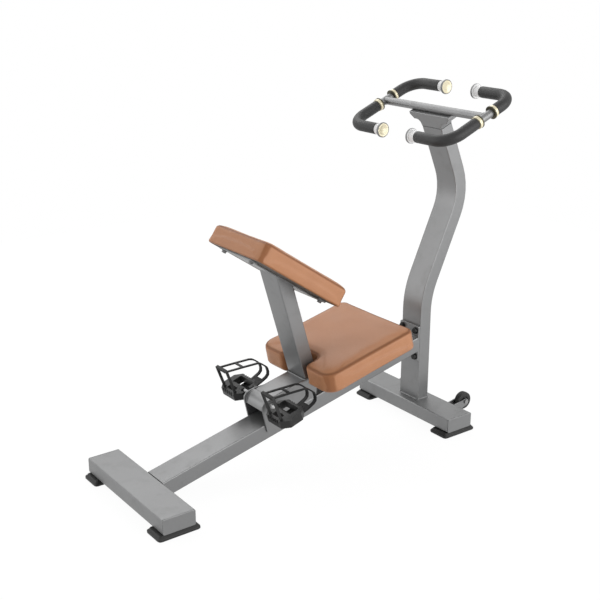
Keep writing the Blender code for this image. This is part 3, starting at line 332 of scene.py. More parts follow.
# %% Bolts, spindles and gold rings
oxide = Finish("black_oxide_steel", {"Metallic": 0.8})
worn = oxide.span(oxide.noise(340.0, 6.0), 0.60, 0.72)
oxide.set("Base Color", oxide.tint(worn, grey(0.030), grey(0.16)))
oxide.set("Roughness", 0.38 + oxide.noise(120.0) * 0.15)
oxide.relief(oxide.noise(900.0), 0.0001, 0.4)
steel = Finish("ground_steel", {"Metallic": 1.0})
grinding = steel.noise(160.0, 5.0, steel.stretched((1, 14, 1)))
steel.set("Base Color", steel.tint(grinding, grey(0.24), grey(0.36)))
steel.set("Roughness", 0.26 + grinding * 0.14)
steel.relief(grinding, 0.00006, 0.4)
zinc = Finish("dull_zinc_bolts", {"Metallic": 0.7})
zinc_cloud = zinc.noise(260.0, 4.0)
zinc.set("Base Color", zinc.tint(zinc_cloud, grey(0.16), grey(0.26)))
zinc.set("Roughness", 0.42 + zinc_cloud * 0.12)
zinc.relief(zinc.noise(1100.0), 0.00006, 0.4)
gold_deep = (0.78, 0.70, 0.47, 1)
gold_fair = (0.88, 0.81, 0.60, 1)
gold = Finish("cream_gold_anodising", {"Metallic": 0.2, "Coat Weight": 0.25})
bloom = gold.noise(45.0, 4.0)
gold.set("Base Color", gold.tint(bloom, gold_deep, gold_fair))
gold.set("Roughness", 0.24 + bloom * 0.10)
gold.relief(gold.noise(1400.0), 0.00004, 0.3)
white_ring = Finish("white_cap_rim", {"Specular IOR Level": 0.5})
white_ring.set("Base Color", white_ring.tint(white_ring.noise(50.0), grey(0.86), grey(0.93)))
white_ring.set("Roughness", 0.34 + white_ring.noise(30.0) * 0.08)
white_ring.relief(white_ring.noise(1500.0), 0.00005, 0.3)
olive_deep = (0.050, 0.046, 0.028, 1)
olive_fair = (0.085, 0.078, 0.048, 1)
olive = Finish("dark_olive_ring", {"Metallic": 0.5})
olive.set("Base Color", olive.tint(olive.noise(60.0), olive_deep, olive_fair))
olive.set("Roughness", 0.32 + olive.noise(30.0) * 0.1)
olive.relief(olive.noise(1400.0), 0.00004, 0.3)
print("metals done")

# %% [markdown]
# Each cushion is built on a board of plywood, stained dark. Its plies run along the board, so
# the grain is a noise that is stretched along the machine.

# %% Stained plywood
stain_deep = (0.045, 0.036, 0.030, 1)
stain_fair = (0.11, 0.090, 0.072, 1)
plywood = Finish("dark_stained_plywood", {"Specular IOR Level": 0.35})
grain = plywood.noise(38.0, 6.0, plywood.stretched((1, 9, 9)))
plywood.set("Base Color", plywood.tint(grain, stain_deep, stain_fair))
plywood.set("Roughness", 0.62 + grain * 0.2)
plywood.relief(grain, 0.0003, 0.5)
print("plywood done")

# %% [markdown]
# Every solid piece takes the finish of its slot. The finer pieces that stand in for the solids
# from here on look up their finish in the same table, unless they have one of their own.

# %% Give every solid its finish
finish_of_slot = {
    "frame_paint": paint,
    "black_plastic": plastic,
    "black_foam": foam,
    "black_steel": oxide,
    "bright_steel": steel,
    "pale_gold": gold,
    "tan_leather": leather,
    "dark_board": plywood,
    "tyre_rubber": rubber,
}
slot_of_node = {node: solid.material_slots[0].material.name for node, solid in solids.items()}
for node, solid in solids.items():
    solid.material_slots[0].material = finish_of_slot[slot_of_node[node]].material
print("finishes given:", len(slot_of_node))

# %% [markdown]
# A solid's edges are sharp, and light shows that at once: a real tube's end is filed, and a
# moulding has a small radius. A finer copy of such a piece merges the solid's triangles into
# faces, rounds the sharp edges with a Bevel, and lets weighted normals keep the flats flat.
# The toe clips keep their triangles, because a face that follows a hook is hard to bevel. Each
# new piece rides on a body, so that it turns with its joint, and hides the solid it stands for.

# %% Finer copies of the rigid pieces
sharp_angle = math.radians(38)
flat_angle = math.radians(0.5)
same_place = 2e-5
curved_strips = {"toe_clip_left", "toe_clip_right"}
edge_of_kind = {
    "crossbar": 0.0008, "bar_cap": 0.0006, "main_beam": 0.0008, "column": 0.0008,
    "post_channel": 0.0009, "pad_post": 0.0007, "seat_bracket": 0.0007, "foot_bracket": 0.0012,
    "wheel_fork": 0.0006, "foot_left": 0.0012, "foot_right": 0.0012, "pedal_left": 0.0007,
    "pedal_right": 0.0007, "toe_clip": 0.0006, "toe_strap": 0.0004, "bolt": 0.0003,
    "axle": 0.0004, "spindle": 0.0004, "board": 0.0006,
}
finish_of_kind = {"toe_strap": webbing, "toe_clip": nylon, "pad_bolt": zinc}


def add_piece(name, mesh, finish, node=None, body=None, smooth=True):
    """A new piece with one finish, which rides on a body and may stand for a solid node."""
    piece = in_scene(name, mesh)
    piece.data.materials.append(finish.material)
    if smooth and piece.type == "MESH":
        mesh.shade_smooth()
    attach(piece, body or body_of_node[node])
    if node:
        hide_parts(node)
    return piece


def welded_mesh(node, merged=True):
    """A solid's mesh with its corners joined and, unless told not to, its flats merged."""
    mesh_data = bmesh.new()
    mesh_data.from_mesh(solids[node].data)
    bmesh.ops.remove_doubles(mesh_data, verts=mesh_data.verts, dist=same_place)
    if merged:
        bmesh.ops.dissolve_limit(mesh_data, angle_limit=flat_angle, verts=mesh_data.verts,
                                 edges=mesh_data.edges)
    return mesh_data


def kept_mesh(name, mesh_data):
    """What was built so far, as a mesh that a piece can show."""
    mesh = bpy.data.meshes.new(name)
    mesh_data.to_mesh(mesh)
    mesh_data.free()
    return mesh


def finer(node, edge, finish):
    """Stand a copy of a solid with its sharp edges rounded in the same place."""
    name = f"{node}_filed"
    mesh = kept_mesh(name, welded_mesh(node, merged=node not in curved_strips))
    if "custom_normal" in mesh.attributes:
        mesh.attributes.remove(mesh.attributes["custom_normal"])
    mesh.materials.clear()
    piece = add_piece(name, mesh, finish, node)
    bevel = piece.modifiers.new("filed_edges", "BEVEL")
    bevel.limit_method = "ANGLE"
    bevel.angle_limit = sharp_angle
    bevel.width = edge
    bevel.segments = 3
    bevel.use_clamp_overlap = False
    normals = piece.modifiers.new("flat_faces", "WEIGHTED_NORMAL")
    normals.keep_sharp = False


filed = []
for node in sorted(solids):
    kinds = [kind for kind in edge_of_kind if kind in node]
    if kinds:
        first_words = "_".join(node.split("_")[:2])
        finish = finish_of_kind.get(first_words, finish_of_slot[slot_of_node[node]])
        finer(node, edge_of_kind[kinds[0]], finish)
        filed.append(node)
print("finer copies:", len(filed))

# %% [markdown]
# Bars and turned pieces are swept: a ring of corners is put at each station, and faces join it
# to the next ring. Where a turned piece closes on its axis, the ring shrinks to one point.

# %% Join rings into a mesh
def joined_rings(name, rings, capped=False):
    """A mesh through rings of places, in order, with both ends closed if it is capped."""
    mesh_data = bmesh.new()
    rings = [[mesh_data.verts.new(place) for place in ring] for ring in rings]
    for first, second in zip(rings, rings[1:]):
        for step in range(max(len(first), len(second))):
            after = step + 1
            corners = [first[step % len(first)], first[after % len(first)],
                       second[after % len(second)], second[step % len(second)]]
            mesh_data.faces.new(list(dict.fromkeys(corners)))
    if capped:
        mesh_data.faces.new(rings[0])
        mesh_data.faces.new(rings[-1])
    bmesh.ops.recalc_face_normals(mesh_data, faces=mesh_data.faces)
    return kept_mesh(name, mesh_data)


print("rings can be joined")

# %% [markdown]
# The two rails of a toe clip join in a plate behind the tread, before they bend up round the
# toes. The plate is a strip of four corners swept over three stations on the clip's own line,
# which rises gently behind the tread.

# %% Plates of the toe clips
pedal_tilt = math.radians(18.0)
clip_base = -0.0168
plate_line = [(0.0670, clip_base), (0.0745, clip_base + 0.0006), (0.0885, clip_base + 0.0033)]
plate_corners = [(-1, -1), (1, -1), (1, 1), (-1, 1)]
plate_half_width = 0.0160
plate_half_thickness = 0.0023
joint_place = {joint["child"]: Vector(joint["pos_m"]) for joint in
               frame["record"]["behaviour"]["joints"]}
for word in ("left", "right"):
    name = f"toe_clip_{word}_plate"
    place = Matrix.Translation(joint_place[f"{word}_pedal"]) @ Matrix.Rotation(-pedal_tilt, 4, "Y")
    rings = [
        [place @ Vector((along, side * plate_half_width, height + up * plate_half_thickness))
         for side, up in plate_corners]
        for along, height in plate_line
    ]
    plate = add_piece(name, joined_rings(name, rings, capped=True), nylon, f"toe_clip_{word}",
                      smooth=False)
    rounding = plate.modifiers.new("filed_edges", "BEVEL")
    rounding.width = edge_of_kind["toe_clip"]
    rounding.segments = 2
print("toe clip plates done")

# %% [markdown]
# A turned piece, such as a ring, a cap or a wheel, is one outline swung round an axis. It is
# drawn as rows of radius and reach, and spun in many steps so that its rim shows no corners.

# %% Turn a profile round an axis
turn_steps = 56
turn_angles = [2 * math.pi * step / turn_steps for step in range(turn_steps)]


def turned(name, profile, place, finish, node):
    """Spin (radius, reach) pairs round the Z axis of place. A radius of 0 is a single point."""
    rings = [
        [place @ Vector((radius * math.cos(angle), radius * math.sin(angle), reach))
         for angle in (turn_angles if radius else [0.0])]
        for radius, reach in profile
    ]
    piece = add_piece(name, joined_rings(name, rings), finish, node)
    piece.data.set_sharp_from_angle(angle=sharp_angle)


def arc(middle, radius, start, stop, steps):
    """Points (radius, reach) on an arc, by angles in degrees from the outward side."""
    points = []
    for step in range(steps + 1):
        angle = math.radians(start + (stop - start) * step / steps)
        points.append((middle[0] + radius * math.cos(angle), middle[1] + radius * math.sin(angle)))
    return points


def near_edge(radius, reach, rounding, steps):
    """The rounded corner where a turned piece's near face meets its rim."""
    return arc((radius - rounding, reach + rounding), rounding, -90, 0, steps)


def far_edge(radius, reach, rounding, steps):
    """The rounded corner where its rim meets its far face."""
    return arc((radius - rounding, reach - rounding), rounding, 0, 90, steps)


def facing(point, direction):
    """A place at point whose Z axis looks along direction."""
    return Matrix.Translation(point) @ direction.to_track_quat("Z", "Y").to_matrix().to_4x4()


print("turning is ready")

# %% [markdown]
# The handles are bent from round tube. A tube is a circle that follows a path, so the path is
# laid out first: straight runs, and an arc in each corner that touches both of its sides.

# %% Pipes along rounded paths
def rounded_path(corners, steps=14, closed=False):
    """Points along a path of (corner, radius) pairs, with an arc in each rounded corner."""
    points = []
    count = len(corners)
    for number, (corner, radius) in enumerate(corners):
        inside = closed or 0 < number < count - 1
        if not inside or radius == 0:
            points.append(corner)
            continue
        before = (corners[number - 1][0] - corner).normalized()
        after = (corners[(number + 1) % count][0] - corner).normalized()
        half = before.angle(after) / 2
        middle = corner + (before + after).normalized() * (radius / math.sin(half))
        start = corner + before * (radius / math.tan(half)) - middle
        stop = corner + after * (radius / math.tan(half)) - middle
        for step in range(steps + 1):
            way = start.normalized().slerp(stop.normalized(), step / steps)
            points.append(middle + way * radius)
    return points


def run_along(points):
    """How far each point of a path lies from its start."""
    run = [0.0]
    for first, second in zip(points, points[1:]):
        run.append(run[-1] + (second - first).length)
    return run


def pipe(name, points, radius, finish, node=None, body=None, thin=None, closed=False):
    """A round bar along points. thin gives the share of the radius at each point."""
    curve = bpy.data.curves.new(name, "CURVE")
    curve.dimensions = "3D"
    curve.bevel_depth = radius
    curve.bevel_resolution = 10
    curve.use_fill_caps = not closed
    spline = curve.splines.new("POLY")
    spline.points.add(len(points) - 1)
    for number, point in enumerate(points):
        spline.points[number].co = (*point, 1)
        spline.points[number].radius = thin[number] if thin else 1.0
    spline.use_cyclic_u = closed
    spline.use_smooth = True
    add_piece(name, curve, finish, node, body)


bar_low, bar_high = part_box("cross_tube")
bar_middle = (bar_low + bar_high) / 2
handle_lean = math.radians(23.0)
along_handles = Vector((math.cos(handle_lean), 0, math.sin(handle_lean)))
square_to_handles = Vector((-math.sin(handle_lean), 0, math.cos(handle_lean)))
tube_radius = 0.0140
tube_setback = 0.0187
handle_side = 0.250
bend_radius = 0.065
grip_end = 0.101
grip_radius = 0.0200
clearance = 0.0003
front_arm = -0.176
rear_arm = 0.146
front_ring = 0.026
rear_ring = 0.031
# the arms with their way along the handle, their reach and the reach of the ring before them
arms = (("front", -1, front_arm, front_ring), ("rear", 1, rear_arm, rear_ring))
sides = (("left", 1), ("right", -1))
print("cross tube's middle:", [round(v, 4) for v in bar_middle])

# %% [markdown]
# Each handle is a C: two arms that point inwards and a side that joins them. The foam is
# pulled over each arm up to the gold ring on the side, and its ends are slightly rounded
# where the knife cut it.

# %% Handle tubes and foam grips
foam_rounding = 0.004
foam_softening = 0.14
ring_length = 0.015


def softened_ends(points, depth):
    """The share of the radius at each point: less within depth of either end of a path."""
    run = run_along(points)
    shares = []
    for place in run:
        near = min(place, run[-1] - place)
        drop = max(0.0, 1 - near / depth)
        shares.append(1 - foam_softening * drop ** 2)
    return shares


def end_points(end, inner, depth):
    """Four points from the end of a path inwards, the last of them at depth."""
    length = (inner - end).length
    return [end.lerp(inner, depth * share / length) for share in (0, 0.3, 0.6, 1)]


def with_close_ends(points, depth):
    """The same path with extra points near both ends, for a rounded end."""
    first = end_points(points[0], points[1], depth)
    last = end_points(points[-1], points[-2], depth)
    return first + points[1:-1] + last[::-1]


def on_handle(reach, outward):
    """A place at a reach along the handles, and to the left of the machine's middle."""
    return bar_middle + along_handles * reach + Vector((0, outward, 0))


for word, sign in sides:
    inner = [on_handle(reach, sign * (grip_end - tube_setback)) for _, _, reach, _ in arms]
    outer = [on_handle(reach, sign * handle_side) for _, _, reach, _ in arms]
    corners = [(inner[0], 0), (outer[0], bend_radius), (outer[1], bend_radius), (inner[1], 0)]
    pipe(f"handle_tube_{word}_bent", rounded_path(corners), tube_radius, paint,
         f"handle_tube_{word}")
    for (end, way, reach, ring_reach), bend in zip(arms, outer):
        foam_start = on_handle(way * (ring_reach + ring_length + clearance), sign * handle_side)
        foam_end = on_handle(reach, sign * grip_end)
        corners = [(foam_start, 0), (bend, bend_radius), (foam_end, 0)]
        path = with_close_ends(rounded_path(corners), foam_rounding)
        pipe(f"grip_{end}_{word}_foam", path, grip_radius, foam, f"grip_{end}_{word}",
             thin=softened_ends(path, foam_rounding))
print("handles and grips done")

# %% [markdown]
# A gold ring stops the foam on the handle's side, with a darker flange toward the cross tube.
# An end cap closes each arm: a white neck, a thin zinc rim, and a cream-gold turned disc.

# %% Gold rings and end caps
ring_radius = 0.0235
bore = tube_radius + clearance
flange = 0.0042
band = ring_radius - 0.0012
groove = band - 0.0008
rim_radius = 0.0262
rim_length = 0.0078
neck_length = 0.023
head_length = 0.008
cap_face = grip_end - neck_length - head_length
# each profile is a table of (radius, reach) in metres, and its reach grows away from the face
flange_profile = [(bore, 0), *near_edge(ring_radius, 0, 0.001, 3),
                  *far_edge(ring_radius, flange, 0.0006, 2), (bore, flange)]
band_profile = [(bore, flange), (groove, flange), (groove, flange + 0.0006),
                *arc((band - 0.0006, flange + 0.0014), 0.0006, -60, 0, 2),
                *far_edge(band, ring_length, 0.0012, 4), (bore, ring_length)]
disc_profile = [(0, 0.0006), (0.0150, 0.0006), (0.0156, 0.0002), (0.0222, 0.0002),
                *near_edge(0.0230, 0.0002, 0.0006, 2), (0.0230, 0.0040), (0, 0.0040)]
rim_profile = [(0.0232, 0.0040), (0.0232, 0.0010), (0.0238, 0.0004),
               *arc((rim_radius - 0.0022, 0.0026), 0.0022, -80, 0, 5),
               *far_edge(rim_radius, rim_length, 0.0008, 3), (0.0250, rim_length), (0.0250, 0.0040)]
cup_profile = [(0.0249, 0.0044), (0.0249, 0.0080), (0.0196, 0.0082), (0.0190, 0.0088),
               (0.0190, 0.0306), (0.0144, 0.0306)]
for word, sign in sides:
    for end, way, reach, ring_reach in arms:
        node = f"collar_{end}_{word}"
        place = facing(on_handle(way * ring_reach, sign * handle_side), along_handles * way)
        turned(f"{node}_flange", flange_profile, place, olive, node)
        turned(f"{node}_band", band_profile, place, gold, node)
        node = f"handle_cap_{end}_{word}"
        place = facing(on_handle(reach, sign * cap_face), Vector((0, sign, 0)))
        turned(f"{node}_disc", disc_profile, place, gold, node)
        turned(f"{node}_rim", rim_profile, place, zinc, node)
        turned(f"{node}_cup", cup_profile, place, white_ring, node)
print("rings and caps done")

# %% [markdown]
# The head of the column carries the cross tube in a groove, and both ends of the tube are
# welded to the handles. The tube is a plain pipe; the welds come next.

# %% Cross tube
half_bar = Vector((0, (bar_high.y - bar_low.y) / 2, 0))
pipe("cross_tube_drawn", [bar_middle - half_bar, bar_middle + half_bar], tube_radius, paint,
     "cross_tube")
print("cross tube done")

# %% [markdown]
# Steel frames are welded, and a weld is a row of small overlapping ripples. A bead is a thin
# pipe along the seam whose thickness goes up and down every two or three millimetres. Where the
# cross tube meets a handle, the seam is a saddle that follows both round tubes.

# %% Weld beads
bead_radius = 0.0022
channel_bead_radius = 0.0014
handle_bead_radius = 0.0016
ripple = 0.0022
ripple_depth = 0.14


def bead(name, corners, radius=bead_radius, closed=True):
    """A rippled bead along (corner, radius) pairs."""
    path = rounded_path(corners, 4, closed)
    if closed:
        path.append(path[0])
    points = []
    for first, second in zip(path, path[1:]):
        steps = max(1, round((second - first).length / ripple))
        points += [first.lerp(second, step / steps) for step in range(steps)]
    if not closed:
        points.append(path[-1])
    thin = [1.0 + ripple_depth * (-1) ** number for number in range(len(points))]
    pipe(name, points, radius, paint, body="frame", thin=thin, closed=closed)


bar_top = 0.0703
tube_width = 0.100
column_depth = 0.053
tube_corner = 0.005
beam_pitch = math.radians(13.07)
beam_start = Vector((-0.5895, 0, bar_top))
beam_axis = Vector((math.cos(beam_pitch), 0, math.sin(beam_pitch)))
beam_up = Vector((-math.sin(beam_pitch), 0, math.cos(beam_pitch)))
across = Vector((0, 1, 0))


def on_beam(along, up, outward=0.0):
    """A place by the beam: along from its front end, up square to it, and outward to the left."""
    return beam_start + beam_axis * along + across * outward + beam_up * up


def tube_outline(middle, along, depth):
    """The rounded corners of the line in which a wide tube meets a plate."""
    half = along * (depth / 2)
    side = across * (tube_width / 2)
    return [(middle + half + side, tube_corner), (middle - half + side, tube_corner),
            (middle - half - side, tube_corner), (middle + half - side, tube_corner)]


column_front = 0.4956
column_middle = Vector((column_front + column_depth / 2, 0, bar_top))
bead("column_foot_weld", tube_outline(column_middle, Vector((1, 0, 0)), column_depth))
post_lean = math.radians(16.6)
post_foot = on_beam(along=0.6203, up=0.0828)
post_slant = column_depth / math.cos(post_lean + beam_pitch)
bead("post_foot_weld", tube_outline(post_foot, beam_axis, post_slant))
channel_reach = (0.4530, 0.6230)
channel_half_width = 0.0493
channel_lift = 0.0004
saddle_steps = 28
saddle_share = 0.98
for word, sign in sides:
    ends = [on_beam(along, channel_lift, sign * channel_half_width) for along in channel_reach]
    bead(f"channel_weld_{word}", [(end, 0) for end in ends], channel_bead_radius, closed=False)
    saddle = []
    for step in range(saddle_steps):
        angle = 2 * math.pi * step / saddle_steps
        height = tube_radius * math.cos(angle) * saddle_share
        place = bar_middle + square_to_handles * height
        place += along_handles * (tube_radius * math.sin(angle))
        place.y = sign * (handle_side - math.sqrt(tube_radius ** 2 - height ** 2))
        saddle.append((place, 0))
    bead(f"handle_weld_{word}", saddle, handle_bead_radius)
print("welds done")

# %% [markdown]
# A transport wheel has a rubber tread with round shoulders and two fine grooves. It is moulded
# round a plastic hub, whose thin web lies deeper than its boss and its rim, and runs on the
# axle between the arms of its fork. Each outline is the same on both sides, so half is drawn.

# %% Transport wheels
tread_radius = 0.0330
tread_groove = tread_radius - 0.0012
shoulder = 0.0038
hub_radius = 0.0205
half_width = 0.012
hub_face = half_width - 0.0008
boss_face = half_width - 0.0004
web_face = 0.0080


def mirrored(half):
    """A half outline and its mirror image, as one whole outline."""
    return half + [(radius, -reach) for radius, reach in reversed(half)]


tread_profile = mirrored([
    (hub_radius, 0.0006 - half_width), *arc((0.0285, shoulder - half_width), shoulder, -90, -20, 5),
    (tread_radius - 0.0003, -0.0040), (tread_groove, -0.0036), (tread_groove, -0.0028),
    (tread_radius, -0.0024),
])
hub_profile = mirrored([
    (0.0049, -boss_face), (0.0085, -boss_face), (0.0090, -web_face), (0.0170, -web_face),
    (0.0178, -hub_face), (hub_radius, -hub_face),
])
for word, _ in sides:
    low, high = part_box(f"wheel_{word}")
    place = facing((low + high) / 2, across)
    turned(f"wheel_{word}_tread", tread_profile, place, rubber, f"wheel_{word}")
    turned(f"wheel_{word}_hub", hub_profile, place, plastic, f"wheel_{word}")
print("wheels done")

# %% [markdown]
# The cushions are soft, so their form comes from a simulation. A copy of the solid is remeshed
# into even small squares and blown up a little like a balloon, while its underside stays held
# on the board. Gravity is off, and no point may move further than a cap. This gives a taut
# cover that swells between its edges, which is hard to draw by hand.

# %% Swell a cushion
voxel = 0.0055
relax_turns = 6
relax_in_and_out = (0.5, -0.52)
cloth_frames = 20
start_shrink = 0.0008
swell_cap = 0.0022
hem_start = 0.004


def own_frame(pitch, middle):
    """The cushion's own place: X down its length, Z square to its underside."""
    return Matrix.Translation(middle) @ Matrix.Rotation(pitch, 4, "Y")


def own_mesh(node, place):
    """The mesh of a solid, measured from its cushion's own place."""
    mesh_data = welded_mesh(node)
    mesh_data.transform(place.inverted())
    return mesh_data


def relaxed(mesh):
    """Take the small corners off a mesh, in and out by turns so that it doesn't shrink."""
    mesh_data = bmesh.new()
    mesh_data.from_mesh(mesh)
    for factor in relax_in_and_out * relax_turns:
        bmesh.ops.smooth_vert(mesh_data, verts=mesh_data.verts, factor=factor, use_axis_x=True,
                              use_axis_y=True, use_axis_z=True)
    mesh_data.to_mesh(mesh)
    mesh_data.free()


def blown_up(name, node, board, place, hem_height):
    """The solid of a cushion as a taut cover: remeshed, swollen by cloth and held below."""
    mesh = kept_mesh(name, own_mesh(node, place))
    board_data = own_mesh(board, place)
    board_skin = BVHTree.FromBMesh(board_data)
    board_data.free()
    cover = in_scene(name, mesh)
    bpy.context.view_layer.objects.active = cover
    mesh.remesh_voxel_size = voxel
    with bpy.context.temp_override(active_object=cover, object=cover, selected_objects=[cover]):
        bpy.ops.object.voxel_remesh()
    mesh = cover.data
    relaxed(mesh)
    rest = [corner.co.copy() for corner in mesh.vertices]
    normals = [corner.normal.copy() for corner in mesh.vertices]
    held = cover.vertex_groups.new(name="held")
    for number, corner in enumerate(mesh.vertices):
        grip = max(0.0, min(1.0, 1 - (rest[number].z - hem_start) / hem_height))
        if board_skin.find_nearest(rest[number])[3] < voxel:
            grip = 1.0
        held.add([number], grip, "REPLACE")
        corner.co -= normals[number] * start_shrink * (1 - grip)
    swell(cover)
    relaxed(mesh)
    moved = 0.0
    for number, corner in enumerate(mesh.vertices):
        shift = corner.co - rest[number]
        if shift.length > swell_cap:
            corner.co = rest[number] + shift.normalized() * swell_cap
        moved = max(moved, (corner.co - rest[number]).length)
    print(name, "corners:", len(mesh.vertices), "largest move:", round(moved * 1000, 2), "mm")
    return cover


def swell(cover):
    """Run the cloth with pressure inside and no gravity, then keep its last shape."""
    cloth = cover.modifiers.new("swell", "CLOTH")
    cloth.settings.quality = 5
    cloth.settings.mass = 0.3
    cloth.settings.tension_stiffness = 30
    cloth.settings.compression_stiffness = 30
    cloth.settings.bending_stiffness = 2.0
    cloth.settings.use_pressure = True
    cloth.settings.uniform_pressure_force = 4.0
    cloth.settings.vertex_group_mass = "held"
    cloth.settings.effector_weights.gravity = 0
    cloth.collision_settings.use_collision = False
    for number in range(1, cloth_frames + 1):
        bpy.context.scene.frame_set(number)
    shape = cover.evaluated_get(bpy.context.evaluated_depsgraph_get())
    points = [corner.co.copy() for corner in shape.data.vertices]
    cover.modifiers.remove(cloth)
    for corner, point in zip(cover.data.vertices, points):
        corner.co = point
    bpy.context.scene.frame_set(1)


print("cloth is ready")

# %% [markdown]
# The cover is sewn from a top panel and a band round the sides. Their seam runs along the
# rolled edge, so it is found by slicing the finished cover a few millimetres below its top.
# The cover dips toward the seam, and a narrow welt lies in the dip; the cover's darkening there
# and the welt's dark colour are painted shade, with some dirt in the darkening. Where the
# cover faces none of the cushion's own six ways, it rolls round an edge, and that is kept too,
# as a mask for painted shade on the rolled edges.

# %% Sew the seam
seam_spacing = 0.002
seam_evening_turns = 4
seam_reach = 0.0046
seam_dip = 0.0008
welt_radius = 0.00085
roll_start = 0.045
roll_span = 0.10


def slice_loop(mesh, height):
    """The closed line in which a level cut meets a mesh, in order."""
    mesh_data = bmesh.new()
    mesh_data.from_mesh(mesh)
    everything = mesh_data.verts[:] + mesh_data.edges[:] + mesh_data.faces[:]
    cut = bmesh.ops.bisect_plane(mesh_data, geom=everything, plane_co=(0, 0, height),
                                 plane_no=(0, 0, 1))["geom_cut"]
    edges = {item for item in cut if isinstance(item, bmesh.types.BMEdge)}
    first = min(edges, key=lambda edge: (edge.verts[0].co.x, edge.verts[0].co.y))
    corner = first.verts[0]
    line = [corner.co.copy()]
    edge = first
    while True:
        corner = edge.other_vert(corner)
        line.append(corner.co.copy())
        following = [other for other in corner.link_edges if other in edges and other != edge]
        if not following or following[0] == first:
            break
        edge = following[0]
    mesh_data.free()
    return line[:-1]


def evened(line, spacing):
    """The same closed line with points at even steps, smoothed a little."""
    loop = line + [line[0]]
    run = run_along(loop)
    count = round(run[-1] / spacing)
    points = []
    index = 0
    for number in range(count):
        target = run[-1] * number / count
        while run[index + 1] < target:
            index += 1
        share = (target - run[index]) / max(run[index + 1] - run[index], 1e-9)
        points.append(loop[index].lerp(loop[index + 1], share))
    for _ in range(seam_evening_turns):
        points = [(points[n - 1] + points[n] * 2 + points[(n + 1) % count]) / 4
                  for n in range(count)]
    return points


def fine_skin(cover):
    """The mesh of a cover, subdivided once."""
    smoother = cover.modifiers.new("fine", "SUBSURF")
    smoother.levels = 1
    smoother.render_levels = 1
    fine = cover.evaluated_get(bpy.context.evaluated_depsgraph_get())
    mesh = bpy.data.meshes.new_from_object(fine)
    cover.modifiers.remove(smoother)
    mesh.name = f"{cover.name}_skin"
    return mesh


def dip_and_mask(mesh, seam_line):
    """Dip a mesh toward its seam, and note on it how near the seam and how rolled it is."""
    tree = KDTree(len(seam_line))
    for number, point in enumerate(seam_line):
        tree.insert(point, number)
    tree.balance()
    # the seam mask darkens the leather as painted shade and dirt, the roll mask as painted shade
    mask = mesh.attributes.new("seam", "FLOAT", "POINT")
    roll = mesh.attributes.new("roll", "FLOAT", "POINT")
    normals = [corner.normal.copy() for corner in mesh.vertices]
    for number, corner in enumerate(mesh.vertices):
        distance = tree.find(corner.co)[2]
        share = math.exp(-(distance / seam_reach) ** 2)
        mask.data[number].value = share
        aslant = 1 - max(abs(part) for part in normals[number])
        roll.data[number].value = min(1.0, max(0.0, (aslant - roll_start) / roll_span))
        corner.co -= normals[number] * seam_dip * share


def sew(cover, height, place, body, node):
    """Give the cover its fine skin with the seam at a height, and lay the welt on it."""
    mesh = fine_skin(cover)
    seam_line = evened(slice_loop(mesh, height), seam_spacing)
    dip_and_mask(mesh, seam_line)
    skin = BVHTree.FromPolygons([corner.co for corner in mesh.vertices],
                                [face.vertices for face in mesh.polygons])
    welt = [skin.find_nearest(point)[0] for point in seam_line]
    mesh.transform(place)
    mesh.materials.clear()
    old = cover.data
    cover.data = mesh
    bpy.data.meshes.remove(old)
    cover.data.materials.append(leather.material)
    cover.data.shade_smooth()
    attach(cover, body)
    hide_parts(node)
    # the welt's dark colour is painted shade along the seam
    pipe(f"{cover.name}_welt", [place @ point for point in welt], welt_radius, welt_shade_vinyl,
         body=body, closed=True)
    print(cover.name, "seam length:", round(len(seam_line) * seam_spacing, 3), "m")


print("sewing is ready")

# %% [markdown]
# The upper pad slopes down to the rear and is almost a plain block with rounded corners. It
# is firm, so its faces stay nearly flat and its crown is low.

# %% Upper pad
pad_pitch = math.radians(34.0)
pad_bottom = Vector((-0.1215, 0, 0.6628))
pad_thickness = 0.0655
pad_seam_depth = 0.0022
pad_hem = 0.012
pad_place = own_frame(pad_pitch, pad_bottom)
upper_pad = blown_up("upper_pad_cover", "pad_cushion", "pad_board", pad_place, pad_hem)
sew(upper_pad, pad_thickness - pad_seam_depth, pad_place, "frame", "pad_cushion")

# %% [markdown]
# The kneeling cushion is wider and thicker, with large corners, a rounded bottom edge and a
# notch that clears the post. Its seam follows the notch too.

# %% Kneeling cushion
seat_start = 0.5870
seat_length = 0.393
seat_lift = 0.0700
seat_thickness = 0.0750
seat_seam_depth = 0.0026
seat_hem = 0.016
seat_place = own_frame(-beam_pitch, on_beam(seat_start + seat_length / 2, seat_lift))
kneeling_cushion = blown_up("kneeling_cushion_cover", "seat_cushion", "seat_board", seat_place,
                            seat_hem)
sew(kneeling_cushion, seat_thickness - seat_seam_depth, seat_place, "frame", "seat_cushion")

# %% [markdown]
# The studio is a white floor under a soft white sky. The camera and mirrors see a clean white,
# while the light that falls on the object is weaker, so that its colours stay as they are. The
# floor keeps a little of its own shading, which shows the faint shadow under the machine. It
# ends before it reaches the lamps, where their light would draw a line on it, and the sky is as
# white as the floor.

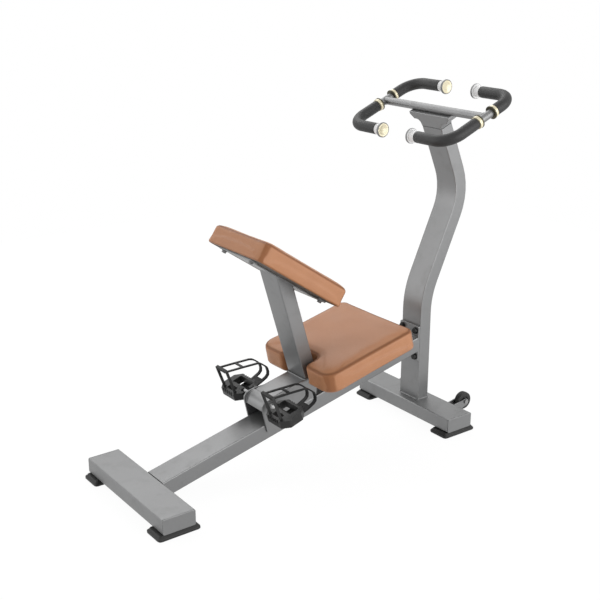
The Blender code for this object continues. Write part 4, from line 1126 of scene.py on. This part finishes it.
# %% Floor and sky
floor_half = 3.2
glow_share = 0.90
glow_strength = 1.05
sky_level = 0.42
floor_corners = [(-floor_half, -floor_half, 0), (floor_half, -floor_half, 0),
                 (floor_half, floor_half, 0), (-floor_half, floor_half, 0)]
floor_mesh = bpy.data.meshes.new("studio_floor")
floor_mesh.from_pydata(floor_corners, [], [(0, 1, 2, 3)])
floor = in_scene("studio_floor", floor_mesh)
floor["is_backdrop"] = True

white = Finish("white_studio_floor", {"Roughness": 0.9, "Specular IOR Level": 0.0})
white.set("Base Color", white.tint(white.noise(3.0), grey(0.84), grey(0.86)))
shaded = Value(white, white.shader.outputs[0])
glow = white.node("Emission", None, {"Strength": glow_strength})
blend = {0: white.seen_directly() * glow_share, 1: shaded, 2: glow}
white.feed(white.nodes["Material Output"].inputs["Surface"], white.node("MixShader", None, blend))
floor.data.materials.append(white.material)

world = bpy.data.worlds.new("studio_sky")
bpy.context.scene.world = world
world.use_nodes = True
sky = Tree(world.node_tree)
background = sky.nodes["Background"]
sky.feed(background.inputs["Color"], (1, 1, 1, 1))
sky.feed(background.inputs["Strength"], sky.seen_directly() * (1 - sky_level) + sky_level)
print("sky level on the object:", sky_level)

# %% [markdown]
# Bright lamps would bleach the paint, so a few large dim ones are used. What they light
# matters less than what mirrors them: each stands where one kind of tube face looks.

# %% Soft lamps
object_middle = Vector((0, 0, 0.5))


def soft_lamp(name, turn, height, distance, size, power):
    """A large square lamp that looks at the object from a direction, in degrees."""
    turn, height = math.radians(turn), math.radians(height)
    way = Vector((math.cos(turn) * math.cos(height), math.sin(turn) * math.cos(height),
                  math.sin(height)))
    data = bpy.data.lights.new(name, "AREA")
    data.shape = "SQUARE"
    data.size = size
    data.energy = power
    lamp = in_scene(name, data)
    lamp.location = object_middle + way * distance
    lamp.rotation_euler = way.to_track_quat("Z", "Y").to_euler()
    lamp.visible_camera = False


soft_lamp("right_softbox", turn=-66.0, height=14.0, distance=4.5, size=4.0, power=135)
soft_lamp("left_softbox", turn=152.0, height=12.0, distance=7.0, size=4.4, power=125)
soft_lamp("upper_left_softbox", turn=112.0, height=42.0, distance=5.0, size=2.2, power=22)
soft_lamp("rear_softbox", turn=66.0, height=46.0, distance=4.5, size=3.0, power=48)
bpy.context.scene.view_settings.view_transform = "Standard"
print("four soft lamps are on")

# %% [markdown]
# Last, the box round the dressed model is measured beside the box of the solids, and the
# dressed model's size is printed.

# %% Measure the sizes and finish
boxes = {"solids": solid_box, "dressed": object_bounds()}
low, high = boxes["dressed"]
print("size of the dressed model:", [round(v, 4) for v in high - low])
